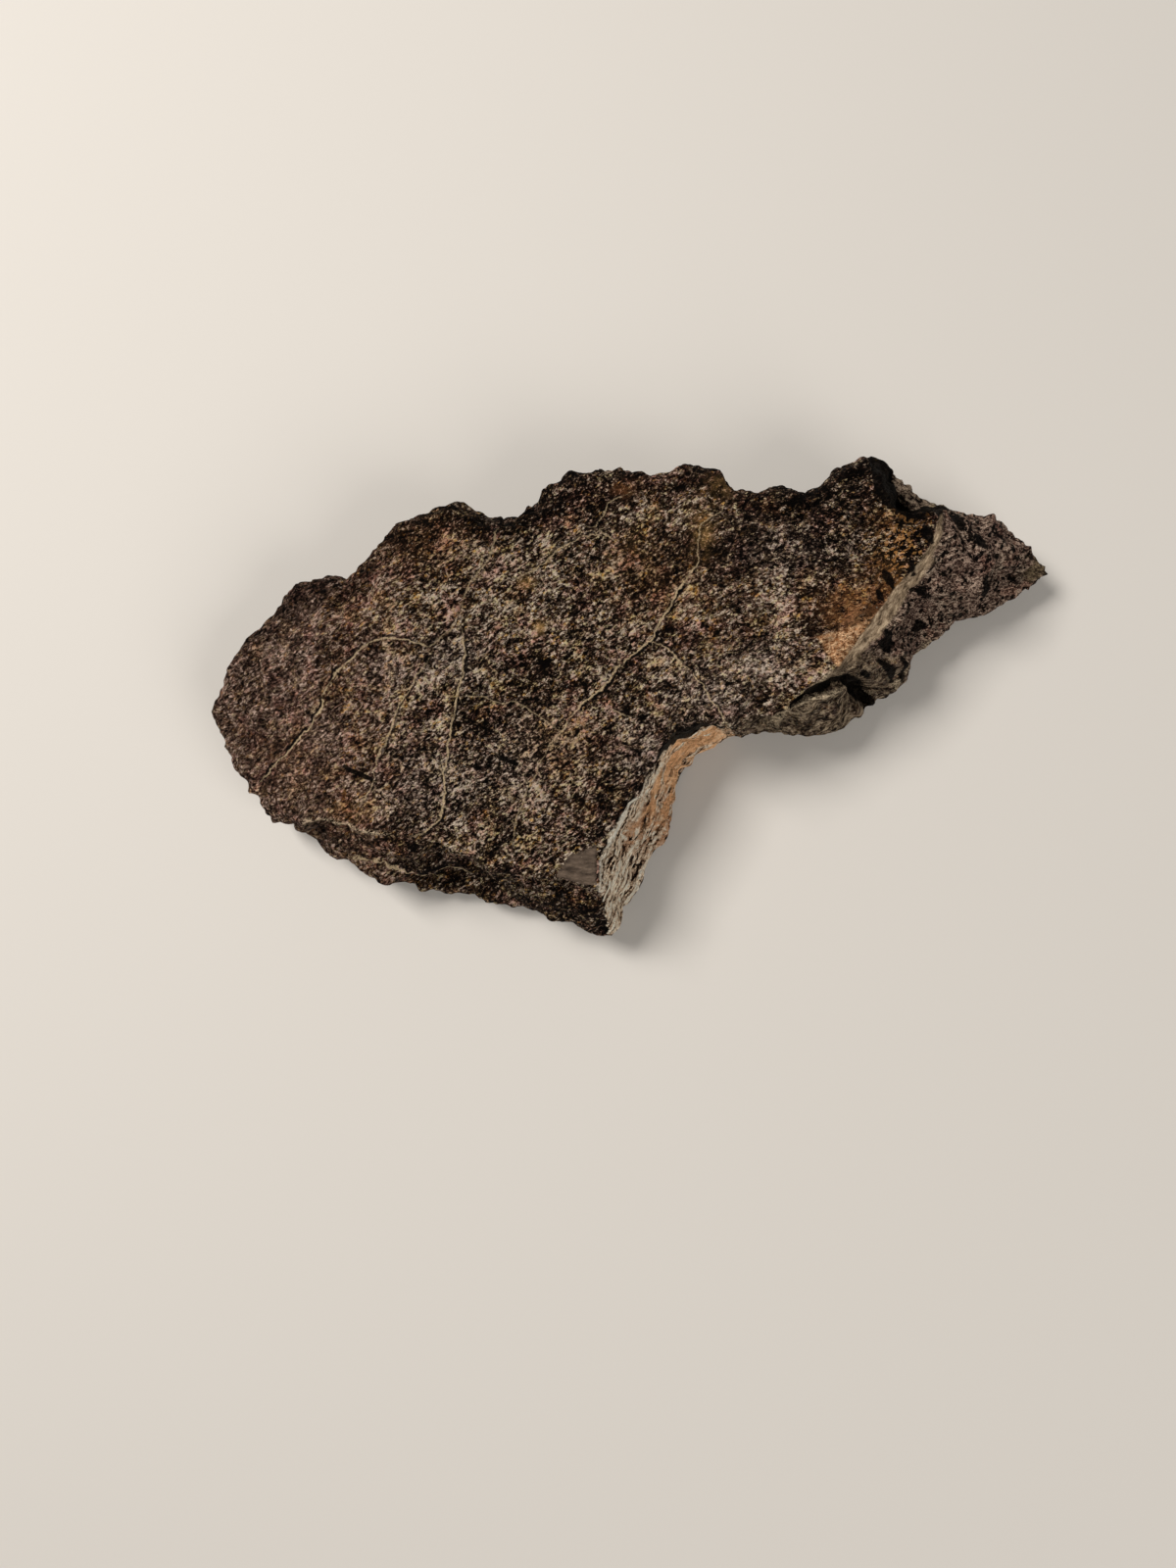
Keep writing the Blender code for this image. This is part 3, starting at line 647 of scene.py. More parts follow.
def outward_normals(points):
    """Unit normals from the cross product of ring and column directions, smoothed by a bell
    curve that is NORMAL_EASE millimetres wide, as a share of each ring and each column."""
    along = np.roll(points, -1, axis=1) - np.roll(points, 1, axis=1)
    normals = unit(np.cross(np.gradient(points, axis=0), along))
    column_step = np.linalg.norm(along[FACE_RINGS], axis=1).mean() / 2.0
    ring_step = np.linalg.norm(np.diff(points, axis=0), axis=2).mean()
    normals = eased(normals.transpose(1, 0, 2).reshape(COLUMNS, -1), NORMAL_EASE / column_step)
    normals = normals.reshape(COLUMNS, RINGS, 3).transpose(1, 0, 2)
    reach = int(2.0 * NORMAL_EASE / ring_step)
    bell = np.exp(-0.5 * (np.arange(-reach, reach + 1) * ring_step / NORMAL_EASE) ** 2)
    padded = np.concatenate([normals[:1]] * reach + [normals] + [normals[-1:]] * reach)
    return unit(sum(share * padded[at : at + RINGS] for at, share in enumerate(bell)))


off_girdle = smooth_step(np.linalg.norm(plain - ribs[:, :3], axis=2), 0.0, GIRDLE_FADE)
low = LOW_SHARE + (1.0 - LOW_SHARE) * smooth_step(plain[..., 2], *LOW_FADE)
clear = smooth_step(UNDER_SLOPE * beyond_spot(x, y), 0.0, SPOT_FADE)
share = FACE_SHARE + (1.0 - FACE_SHARE) * smooth_step(past_rim, 0.0, SIDE_FADE)
share = share * (GIRDLE_SHARE + (1.0 - GIRDLE_SHARE) * off_girdle)
share = share * np.where(past_rim > 1.0, clear, low)
normals = outward_normals(plain)
formed = plain + lumps(plain) + folds + normals * (broken * share)[..., None]
print("formed, mm:", np.round(formed.max(axis=(0, 1)) - formed.min(axis=(0, 1)), 1))

# %% [markdown]
# ## The fine relief
#
# Seen close, the face is all crumbs a millimetre or two across, with chips between them, and
# the grooves on the fracture wall run along the break. Crumbs are short waves, stretched the
# way the stone's grain runs. They are real bumps in the mesh, so they catch the light from
# any side, and the finest grain is left to the material.

# %% Crumbs, chips and grooves
# Size, tilt, step, edge and seed of each kind of chip
CHIPS = ((6.0, 0.22, 0.24, 0.4, 3.0), (2.9, 0.28, 0.17, 0.25, 5.0))
# Length, height and seed of each wave field
CRUMBS = ((4.2, 0.22, 61), (2.3, 0.18, 62), (1.5, 0.12, 63))
GRAIN_STRETCH = (1.5, 1.0, 1.0)
WALL_GROOVES = ((3.0, 0.35, 71), (1.5, 0.2, 72))
GROOVE_STRETCH = (7.0, 1.0, 1.0)
GRAIN_WAY, WALL_WAY = unit(np.array([[1.0, 0.55, 0.0], [0.42, 0.9, 0.0]]))


def turned(points, way):
    """The points read in a frame whose first axis runs along way, level with the ground."""
    across = np.array([-way[1], way[0], 0.0])
    return np.stack([points @ way, points @ across, points[..., 2]], axis=-1)


def stretched_waves(table, way, stretch_by):
    """The sum of a table's wave fields, each times its height, longer along the given way."""
    points = turned(plain, way)
    return sum(height * waves(points, length, seed, stretch_by) for length, height, seed in table)


fine = sum(chips(plain, *values) for values in CHIPS)
fine += stretched_waves(CRUMBS, GRAIN_WAY, GRAIN_STRETCH)
grooves = stretched_waves(WALL_GROOVES, WALL_WAY, GROOVE_STRETCH)
print("crumbs and chips, mm:", round(fine.std(), 2), "and grooves", round(grooves.std(), 2))

# %% Where the relief is rubbed away, and the finished surface
RUBBED_CALM, WALL_CALM, BLUNT_EDGE_CALM = 0.85, 0.5, 0.45
bevel_width = np.interp(ridge_along, *zip(*BEVEL_WIDTHS))
bevel = smooth_step(ridge_gap + bevel_width, -0.2, 0.3) * smooth_step(ridge_gap, 0.4, 0.0)
bevel = bevel * smooth_step(past_rim, -0.15, -0.02) * smooth_step(past_rim, 0.6, 0.4)
bevel = bevel * smooth_step(ridge_along, 0.0, 0.03)
rubbed = bevel * smooth_step(ridge_along, 0.3, 0.42)
smooth_patch = smooth_step(patch_depth, -0.3, 0.5) * (past_rim <= 0.02)
calm = np.maximum(rubbed, smooth_patch)
fine = fine * (1.0 - RUBBED_CALM * calm) * np.where(past_rim > 1.0, clear, 1.0)
blunt_edge = smooth_step(x, -30.0, -50.0) * (1.0 - off_girdle)
fine = fine * (1.0 - BLUNT_EDGE_CALM * blunt_edge)
fine = fine * (1.0 - WALL_CALM * wall) + grooves * wall
surface = formed + normals * fine[..., None]
floor_height = LEAST_UNDER_SLOPE * beyond_spot(surface[..., 0], surface[..., 1])
surface[..., 2] = np.maximum(surface[..., 2], floor_height)
print("fine relief, mm:", round(fine.std(), 2), "on average")

# %% [markdown]
# ## Into the frame's box
#
# The survey's coordinates become the frame's by laying the stone's extent on the packed
# solid's. The stretch this takes is two parts in a hundred at most, and it keeps the dressed
# stone exactly as large as the solid it stands for.

# %% Fit, and make the mesh
low_corner, high_corner = surface.min(axis=(0, 1)), surface.max(axis=(0, 1))
stretch_by = (STONE_HIGH - STONE_LOW) / (high_corner - low_corner) / METRES_PER_MM
placed = STONE_LOW + (surface - low_corner) * stretch_by * METRES_PER_MM
print("stretched by", np.round(stretch_by, 4))


def skin_faces():
    """Quads between neighbouring rings, and strips that close both middles over the spine."""
    at = np.arange(RINGS * COLUMNS).reshape(RINGS, COLUMNS)
    after = np.roll(at, -1, axis=1)
    grid = np.stack([at[:-1], at[1:], after[1:], after[:-1]], axis=2).reshape(-1, 4)
    near = np.arange(1, COLUMNS_PER_EDGE - 1)
    far = COLUMNS - near
    middle = np.stack([near, near + 1, far - 1, far], axis=1)
    half = COLUMNS_PER_EDGE
    ends = np.array([[0, 1, COLUMNS - 1], [half, half + 1, half - 1]])
    last = (RINGS - 1) * COLUMNS
    quads = np.concatenate([grid, middle, (middle + last)[:, ::-1]])
    return quads.tolist() + ends.tolist() + (ends + last)[:, ::-1].tolist()


mesh = bpy.data.meshes.new("stone")
mesh.from_pydata(placed.reshape(-1, 3).tolist(), [], skin_faces())
mesh.shade_smooth()
stone = bpy.data.objects.new("stone", mesh)
bpy.context.scene.collection.objects.link(stone)
print(len(mesh.vertices), "vertices,", sum(len(p.vertices) - 2 for p in mesh.polygons), "triangles")

# %% [markdown]
# ## Veins
#
# Thin cream veins cross the face. They are old cracks filled with mineral, and they are far
# thinner than our mesh, so we don't paint them on vertices: each vertex keeps its signed
# distance to the nearest vein. Between two vertices that distance runs straight through zero,
# and the material draws a crisp line there.

# %% The veins, from end to end: width, strength and course
VEINS = (
    (0.55, 1.0, ((-76.2, -0.2), (-73.3, 2.7), (-69.3, 6.2), (-67.6, 8.4), (-63.6, 12.8), (-61.1, 16.6),
                 (-59.8, 20.6), (-57.8, 24.4), (-54.9, 27.0))),
    (0.45, 0.8, ((-57.8, 24.4), (-54.9, 27.0), (-51.2, 30.6), (-47.9, 32.6), (-43.9, 33.0),
                 (-39.7, 32.1), (-35.9, 30.8))),
    (0.5, 0.5, ((-35.9, 30.8), (-33.5, 32.1), (-31.0, 34.3), (-28.6, 38.8), (-26.1, 46.1),
                (-21.9, 51.8), (-20.8, 57.6), (-19.9, 59.2))),
    (0.4, 0.7, ((-35.9, 27.7), (-39.2, 22.4), (-42.5, 17.7), (-43.9, 13.3), (-45.4, 8.4), (-48.3, 2.7),
                (-48.7, -1.1), (-50.3, -4.0), (-52.1, -6.4))),
    (0.5, 0.9, ((-28.1, 33.9), (-27.5, 29.2), (-27.9, 23.5), (-29.2, 18.2), (-30.6, 12.0), (-31.5, 5.1),
                (-32.3, 1.3), (-31.9, -3.5), (-33.0, -9.3), (-36.8, -12.2), (-38.8, -12.6))),
    (0.35, 0.5, ((-35.2, 5.1), (-33.5, 3.8), (-32.3, 1.8))),
    (0.35, 0.6, ((-27.7, 18.8), (-23.7, 19.3), (-19.7, 17.7), (-16.0, 17.9), (-12.8, 16.0),
                 (-10.2, 14.2), (-6.6, 11.7))),
    (0.4, 0.55, ((32.3, 64.9), (30.6, 62.0), (25.9, 58.5), (25.5, 54.5), (25.7, 50.3), (23.3, 46.7))),
    (0.5, 1.0, ((23.3, 46.7), (20.6, 43.2), (19.7, 40.5), (17.1, 36.8), (15.7, 33.2), (14.6, 31.9),
                (10.2, 28.6), (6.6, 25.5), (5.3, 22.8), (3.3, 20.6), (-1.1, 17.3), (-3.3, 14.6))),
    (0.35, 0.55, ((-3.3, 14.6), (-5.5, 11.1), (-8.0, 8.0), (-10.2, 4.7), (-11.5, 0.7), (-13.7, -3.8),
                  (-15.1, -7.5), (-16.4, -12.4), (-16.8, -15.3))),
    (0.4, 0.7, ((15.7, 31.5), (18.8, 30.1), (21.5, 26.8), (24.1, 24.1), (26.6, 21.5), (27.9, 18.8),
                (29.7, 16.4), (31.5, 14.2))),
    (0.5, 0.7, ((-16.2, 46.1), (-13.3, 47.6), (-9.3, 49.6), (-5.5, 53.4), (-1.8, 55.4), (1.1, 56.7),
                (3.5, 57.2))),
    (0.35, 0.6, ((0.2, 58.9), (2.2, 58.7), (4.7, 57.2), (6.9, 55.2))),
    (0.35, 0.6, ((2.2, 58.7), (3.5, 60.5), (5.5, 64.5), (8.4, 65.8))),
    (0.35, 0.7, ((6.2, 16.0), (8.9, 14.6))),
    # The last one crosses the south band, along its ledge
    (0.3, 0.8, ((-55.1, -17.9), (-52.1, -18.6), (-48.5, -19.6), (-43.9, -21.5), (-40.4, -22.0))),
    (0.8, 1.0, ((-40.4, -21.8), (-35.7, -22.9), (-31.6, -24.7), (-27.5, -26.6), (-25.0, -27.4))),
)
VEIN_SIGHT, VEIN_FADE = 2.5, 1.2
VEIN_END, END_STRENGTH = 0.06, 0.35

vein_gap = np.full(x.shape, VEIN_SIGHT)
vein_show = np.zeros(x.shape)
vein_width = np.ones(x.shape)
for width, strength, course in VEINS:
    gap, along = to_line(x, y, course)
    nearer = np.abs(gap) < np.abs(vein_gap)
    ends = smooth_step(along, 0.0, VEIN_END) * smooth_step(along, 1.0, 1.0 - VEIN_END)
    vein_gap = np.where(nearer, gap, vein_gap)
    show = strength * (END_STRENGTH + (1.0 - END_STRENGTH) * ends)
    show = show * smooth_step(np.abs(gap), VEIN_SIGHT, VEIN_FADE)
    vein_show = np.where(nearer, show, vein_show)
    vein_width = np.where(nearer, width, vein_width)
vein_show *= (past_rim <= 0.3) | ((band > 0.5) & (past_rim <= 0.95))
vein_lengths = [np.linalg.norm(np.diff(course, axis=0), axis=1).sum() for *_, course in VEINS]
print(len(VEINS), "veins,", round(sum(vein_lengths)), "mm long")

# %% [markdown]
# ## Stains
#
# Iron in the stone has rusted where water got in: along the ridge, in spots on the face, and
# down the lower part of the fracture wall. Each stain is a soft oval with its own colour. The
# ovals are only where stain may lie: the material breaks their edges up with noise.


# %% Colours, and the stain table
def paint(red, green, blue):
    """A colour given as on a screen, 0 to 255 for each part, as the linear light nodes want:
    each part over 255, to the power 2.4 with the standard's small toe."""
    share = np.array([red, green, blue]) / 255.0
    light = np.where(share <= 0.04045, share / 12.92, ((share + 0.055) / 1.055) ** 2.4)
    return (*light.tolist(), 1.0)


RUST = paint(160, 106, 66)
OCHRE = paint(190, 152, 96)
SALMON = paint(216, 166, 122)
BROWN = paint(112, 78, 50)
# Near black, for the painted shadow beside the veins
VEIN_SHADOW_COLOUR = paint(14, 10, 9)
# Place (x, y), radii (x, y), colour, and how much it tints and covers
STAINS = (
    ((71.5, 54.0), (4.5, 6.5), OCHRE, 0.6, 0.0),
    ((67.5, 59.5), (3.5, 2.5), RUST, 0.8, 0.05),
    ((68.0, 45.5), (3.5, 5.0), RUST, 0.8, 0.25),
    ((60.0, 39.5), (6.5, 6.0), RUST, 1.0, 0.3),
    ((61.0, 38.5), (6.0, 5.0), BROWN, 1.0, 0.3),
    ((62.5, 36.0), (3.0, 3.0), SALMON, 1.0, 0.45),
    ((-10.4, 35.2), (1.3, 1.3), OCHRE, 0.8, 0.7),
    ((-13.3, 45.4), (1.6, 1.4), OCHRE, 0.8, 0.45),
    ((8.9, 67.6), (2.4, 2.0), RUST, 0.8, 0.3),
    ((31.0, 68.7), (3.0, 2.4), OCHRE, 0.8, 0.25),
    ((26.5, 57.0), (2.4, 5.5), OCHRE, 0.9, 0.3),
    ((10.5, 53.0), (5.0, 5.0), OCHRE, 0.5, 0.05),
    ((-53.5, -7.5), (4.5, 3.0), OCHRE, 0.6, 0.08),
    ((17.0, 46.0), (10.0, 8.0), BROWN, 0.7, 0.05),
    ((-35.0, 55.0), (10.0, 6.0), BROWN, 0.8, 0.1),
    ((-6.0, 8.0), (9.0, 8.0), BROWN, 0.6, 0.05),
    ((-68.0, 5.0), (9.0, 8.0), BROWN, 0.4, 0.05),
)
OCHRE_TRIANGLE = ((52.2, 32.8), (57.3, 25.9), (63.9, 36.3))


def oval(spot, radii):
    """A soft oval on the plan: e to minus the square of the distance in its own radii."""
    return np.exp(-(((x - spot[0]) / radii[0]) ** 2) - ((y - spot[1]) / radii[1]) ** 2)


stain = np.zeros((*x.shape, 4))
cover = np.zeros(x.shape)
on_face = past_rim <= 0.1
for spot, radii, colour, tint, hide in STAINS:
    near = oval(spot, radii) * on_face
    stain[..., :3] += (near * tint)[..., None] * np.array(colour[:3])
    stain[..., 3] += near * tint
    cover += near * hide
ochre_patch = smooth_step(into_area(x, y, OCHRE_TRIANGLE), -0.4, 0.5) * on_face
stain[..., :3] /= np.maximum(stain[..., 3:], 1e-6)
stain[..., :3] += (np.array(SALMON[:3]) - stain[..., :3]) * ochre_patch[..., None]
stain[..., 3] = np.clip(np.maximum(stain[..., 3], ochre_patch), 0.0, 1.0)
cover = np.clip(cover, 0.0, 1.0)
print(len(STAINS), "stains")

# %% [markdown]
# ## How flecked each place is
#
# The flecks aren't the same all over. They are calm and even at the blunt end, and coarse
# beside the ridge, while the round north brow, the strip under the notch and the sharp corner
# are darker as painted shade, where they turn from the light. One number for the whole stone
# would lose that, so the mesh carries their contrast and their brightness: a base, a share for
# each kind of place, and soft ovals.

# %% Contrast and brightness of the flecks
FLECK_GAIN, FLECK_BASE = 6.2, 0.53
BLUNT_CALM = 0.65
BLUNT_COOLNESS = 0.6
RIDGE_ZONE = ((71.5, 53.0), (5.5, 8.0))

corner = band * smooth_step(x, -20.0, -8.0)
ridge_zone = oval(*RIDGE_ZONE) * (past_rim <= 0.0)
brow_ring = smooth_step(past_rim, -0.28, 0.02)
brow_shade = np.clip(roundness, 0.0, 1.0) * brow_ring * smooth_step(y, 20.0, 40.0)
west = smooth_step(x, -52.0, -66.0)
west_half = smooth_step(x, -30.0, -56.0)
uneven = 1.0 - BLUNT_CALM * west_half
# Kind of place, how it changes the contrast as a share, and the brightness
FLECK_KINDS = (
    (west_half, -0.38, 0.05),
    (west, -0.15, 0.0),
    (ridge_zone, 1.0, -0.5),
    # Painted shade: the strip under the notch is an undercut that faces away from the light
    (strip, 0.4, -0.26),
    # Painted shade: the round north brow rolls away from the light
    (brow_shade, 0.0, -0.22),
    (band, 0.0, -0.07),
    # Painted shade: the band darkens near the sharp corner, where it turns under
    (corner, 0.0, -0.12),
)
# Place (x, y), radii (x, y), and how much brighter it is there; a brighter patch is painted
# sheen, and is greyed as well, and a darker one is only darker
SHEEN_AND_TONE_PATCHES = (
    ((-18.0, 2.5), (9.0, 7.0), 0.13),
    ((28.0, 19.0), (11.0, 7.0), 0.12),
    ((45.0, 53.0), (15.0, 6.0), 0.12),
    ((-45.0, 26.0), (7.0, 5.0), 0.08),
    ((41.0, 27.0), (8.0, 5.0), 0.06),
    ((-30.0, 28.0), (9.0, 6.0), 0.04),
    ((62.0, 68.0), (8.0, 8.0), -0.26),
    ((18.0, 58.0), (22.0, 9.0), -0.17),
    ((-5.0, 28.0), (10.0, 5.0), -0.08),
    ((5.0, -8.0), (7.0, 6.0), -0.06),
    ((-36.0, 0.0), (11.0, 9.0), 0.12),
    ((-13.0, 7.0), (9.0, 7.0), 0.06),
    ((14.0, 6.0), (8.0, 7.0), 0.09),
    ((-62.0, 9.0), (7.0, 9.0), 0.05),
    ((-26.0, 48.0), (15.0, 8.0), -0.10),
    ((-2.0, 62.0), (12.0, 8.0), -0.09),
)
fleck_gain = FLECK_GAIN * (1.0 + sum(gain * kind for kind, gain, _ in FLECK_KINDS))
fleck_base = FLECK_BASE + sum(lift * kind for kind, _, lift in FLECK_KINDS)
cool_and_sheen = BLUNT_COOLNESS * west
for spot, radii, lift in SHEEN_AND_TONE_PATCHES:
    near = oval(spot, radii)
    fleck_base = fleck_base + lift * near
    # A brighter patch also greys the colour there, as painted sheen
    cool_and_sheen = np.maximum(cool_and_sheen, near * (lift > 0.0))
print("flecks: contrast up to", round(fleck_gain.max(), 1), "and", len(SHEEN_AND_TONE_PATCHES), "patches")

# %% [markdown]
# ## Handing the masks to the material
#
# A material can read any named attribute of the mesh, so every mask goes in under a plain
# name. This is steadier than painting an image: it needs no unwrapping, and it stays sharp at
# any size.

# %% The wall's own stains, and a pair of coordinates that follow each edge
below_crest = smooth_step(drop, 6.0, 10.0)
browned = wall * smooth_step(y, -22.0, -14.0) * smooth_step(y, 0.0, -6.0) * below_crest
rusty = wall * smooth_step(y, -14.0, -6.0) * smooth_step(drop, 6.0, 12.0)
rim_lip = wall * smooth_step(drop, 3.4, 2.2) * smooth_step(y, 9.0, 4.0)
flow_run = run + (ridge_along * RIDGE_LENGTH - run) * (bevel > 0.0)
flow_out = drop + (ridge_gap - drop) * (bevel > 0.0)
print("wall stained over", round(float((rusty > 0.5).sum() / (wall > 0.5).sum()), 2), "of its vertices")


# %% Attributes on the mesh
def keep(name, values):
    """One number a vertex, under a name that the material reads."""
    attribute = mesh.attributes.new(name, "FLOAT", "POINT")
    attribute.data.foreach_set("value", values.astype(np.float32).ravel())


KEPT = {
    # The breaks
    "wall": wall, "flank": flank, "lobes": lobes, "facet": facet, "tip": tip,
    "bevel": bevel, "rubbed": rubbed, "patch": smooth_patch,
    # The painted shadow, then the pale crests and the wall's lip
    "painted_shadow": painted_shadow, "crest": crest, "rim_lip": rim_lip,
    # Flecks and stains; the flecks' brightness also carries painted shade and painted sheen
    "uneven": uneven, "fleck_gain": fleck_gain, "fleck_base": fleck_base, "cool_and_sheen": cool_and_sheen,
    "ridge_zone": ridge_zone, "rusty": rusty, "browned": browned,
    "cover": cover, "ochre_patch": ochre_patch,
    # Lines and edges
    "flow_run": flow_run, "flow_out": flow_out,
    "vein_gap": vein_gap, "vein_show": vein_show, "vein_width": vein_width,
}
for name, values in KEPT.items():
    keep(name, values)
stain_colours = mesh.attributes.new("stain", "FLOAT_COLOR", "POINT")
stain_colours.data.foreach_set("color", stain.astype(np.float32).ravel())
print(len(KEPT) + 1, "attributes")

# %% [markdown]
# ## The stone's material
#
# One material serves the whole stone, because its breaks run into each other. Nodes are added
# by small helpers, so that a line of code reads like a line of working: a fleck is a ramp of
# a noise, a pit is a small distance in a cell pattern, and the masks mix them.

# %% Helpers for sums
material = bpy.data.materials.new("meteorite_stone")
material.use_nodes = True
tree = material.node_tree
shader = tree.nodes["Principled BSDF"]


def put(node, key, value):
    """Sets an input to a plain value, or links it to another node's output."""
    if isinstance(value, bpy.types.NodeSocket):
        tree.links.new(value, node.inputs[key])
    else:
        node.inputs[key].default_value = value


def calc(operation, first, second=0.0, third=0.0):
    """A Math node: one sum, product or other operation on up to three numbers."""
    node = tree.nodes.new("ShaderNodeMath")
    node.operation = operation
    for key, value in enumerate((first, second, third)):
        put(node, key, value)
    return node.outputs[0]


def times(first, *others):
    """The product of all the numbers, by one Math node for each after the first."""
    for other in others:
        first = calc("MULTIPLY", first, other)
    return first


def add_share(base, value, share):
    """The base plus that share of the value."""
    return calc("MULTIPLY_ADD", value, share, base)


def centred(value):
    """A value that runs from 0 to 1, less a half, so that it pushes both ways."""
    return calc("SUBTRACT", value, 0.5)


def step_between(value, start, end):
    """A Map Range node, smoothed: 0 at start, 1 at end."""
    node = tree.nodes.new("ShaderNodeMapRange")
    node.interpolation_type = "SMOOTHSTEP"
    put(node, "Value", value)
    put(node, "From Min", start)
    put(node, "From Max", end)
    return node.outputs["Result"]


print("sums ready")


# %% Helpers for colours, places and patterns
def blend(share, first, second, how="MIX"):
    """A Mix node on colours."""
    node = tree.nodes.new("ShaderNodeMix")
    node.data_type = "RGBA"
    node.blend_type = how
    put(node, 0, share)
    put(node, 6, first)
    put(node, 7, second)
    return node.outputs[2]


def mix_numbers(share, first, second):
    """A Mix node on plain numbers."""
    node = tree.nodes.new("ShaderNodeMix")
    put(node, 0, share)
    put(node, 2, first)
    put(node, 3, second)
    return node.outputs[0]


def ramp(value, *stops):
    """A Color Ramp: pairs of a position and a colour."""
    node = tree.nodes.new("ShaderNodeValToRGB")
    put(node, "Fac", value)
    elements = node.color_ramp.elements
    while len(elements) < len(stops):
        elements.new(1.0)
    for element, (position, colour) in zip(elements, stops):
        element.position, element.color = position, colour
    return node.outputs["Color"]


def mask(name):
    """A named attribute of the mesh, as a number."""
    node = tree.nodes.new("ShaderNodeAttribute")
    node.attribute_name = name
    return node.outputs["Fac"]


def place(angle=0.0, stretch=(1.0, 1.0, 1.0), shift=(0.0, 0.0, 0.0)):
    """Object coordinates in millimetres, turned about the vertical, then squeezed by stretch."""
    coordinates = tree.nodes.new("ShaderNodeTexCoord").outputs["Object"]
    turn = tree.nodes.new("ShaderNodeMapping")
    turn.inputs["Rotation"].default_value = (0.0, 0.0, -np.radians(angle))
    tree.links.new(coordinates, turn.inputs["Vector"])
    squeeze = tree.nodes.new("ShaderNodeMapping")
    squeeze.inputs["Scale"].default_value = tuple(1.0 / METRES_PER_MM / np.array(stretch))
    squeeze.inputs["Location"].default_value = shift
    tree.links.new(turn.outputs["Vector"], squeeze.inputs["Vector"])
    return squeeze.outputs["Vector"]


def along_flow(stretch):
    """Millimetres along an edge and away from it, squeezed along the edge by stretch."""
    node = tree.nodes.new("ShaderNodeCombineXYZ")
    put(node, 0, calc("DIVIDE", mask("flow_run"), stretch))
    put(node, 1, mask("flow_out"))
    return node.outputs[0]


def noise(where, size, detail=2.0, rough=0.5, warp=0.0):
    """A Noise Texture about size millimetres from crest to crest."""
    node = tree.nodes.new("ShaderNodeTexNoise")
    tree.links.new(where, node.inputs["Vector"])
    node.inputs["Scale"].default_value = 1.0 / size
    node.inputs["Detail"].default_value = detail
    node.inputs["Roughness"].default_value = rough
    node.inputs["Distortion"].default_value = warp
    return node.outputs["Fac"]


def cells(where, size):
    """A Voronoi Texture on points about size millimetres apart."""
    node = tree.nodes.new("ShaderNodeTexVoronoi")
    tree.links.new(where, node.inputs["Vector"])
    node.inputs["Scale"].default_value = 1.0 / size
    return node


print("patterns ready")

# %% [markdown]
# ### The flecked ground
#
# The broken face shows pale flecks of crystal, a millimetre long, in a nearly black ground.
# They lean up to the right over most of the stone, and lie flatter near the pointed end, so
# the same noise is laid at two angles and the two are mixed along the stone. Every grain also
# draws a tone and a tint of its own, and the rarest grains are lifted as painted glints. Small
# hollows and seams between the grains are darkened as painted shade. Slow noises shift the
# whole from purplish red to olive.

# %% Flecks, grains and the gaps between them
GRAIN_ANGLE_WEST, GRAIN_ANGLE_EAST = 34.0, 2.0
ANGLE_TURNS_FROM, ANGLE_TURNS_TO = -10.0, 55.0
FLECK_STRETCH = (1.7, 1.0, 1.2)
GRAIN_SIZE = 0.5
west_grain = place(GRAIN_ANGLE_WEST, FLECK_STRETCH)
east_grain = place(GRAIN_ANGLE_EAST, FLECK_STRETCH)
level = place()
split = tree.nodes.new("ShaderNodeSeparateXYZ")
tree.links.new(level, split.inputs[0])
eastward = step_between(split.outputs["X"], ANGLE_TURNS_FROM, ANGLE_TURNS_TO)


def both_grains(size, detail, rough):
    """The same noise at the western and at the eastern angle, mixed along the stone."""
    at_west = noise(west_grain, size, detail, rough)
    at_east = noise(east_grain, size, detail, rough)
    return mix_numbers(eastward, at_west, at_east)


# Each grain draws three numbers from 0 to 1: its tone, its tint, and whether it is special:
# the rarest are lifted as painted glints, and some beside the ridge are rusted
draws = tree.nodes.new("ShaderNodeSeparateColor")
tree.links.new(cells(west_grain, GRAIN_SIZE).outputs["Color"], draws.inputs[0])
shade_draw, tint_draw, glint_and_rust_draw = draws.outputs
fine_fleck = both_grains(0.72, 2.0, 0.95)
coarse_fleck = both_grains(3.2, 3.0, 0.7)
clumps = noise(level, 2.2, 3.0, 0.7, 0.4)
fleck = add_share(times(clumps, 0.2), coarse_fleck, 0.22)
fleck = add_share(fleck, fine_fleck, 0.58)
patchy = centred(noise(level, 9.0, 3.0, 0.55))
patchy = add_share(patchy, centred(noise(west_grain, 24.0, 1.0, 0.5)), 0.6)
hollow_run = times(step_between(noise(level, 7.0, 2.0, 0.6), 0.44, 0.56), 0.05)
hollow_noise = calc("SUBTRACT", noise(west_grain, 1.7, 3.0, 0.65, 0.6), hollow_run)
hollow = step_between(hollow_noise, 0.365, 0.335)
seam = calc("ABSOLUTE", centred(noise(west_grain, 2.4, 3.0, 0.6, 0.6)))
seam_comes = step_between(noise(level, 3.6, 2.0, 0.6), 0.47, 0.56)
crevice = times(step_between(seam, 0.022, 0.006), seam_comes)
print("flecks ready")

# %% Brightness to colour, then the tints
brightness = add_share(mask("fleck_base"), centred(fleck), mask("fleck_gain"))
brightness = add_share(brightness, patchy, mask("uneven"))
brightness = add_share(brightness, centred(shade_draw), 0.44)
# The rarest grains are lifted as painted glints
brightness = add_share(brightness, step_between(glint_and_rust_draw, 0.88, 0.92), 0.16)
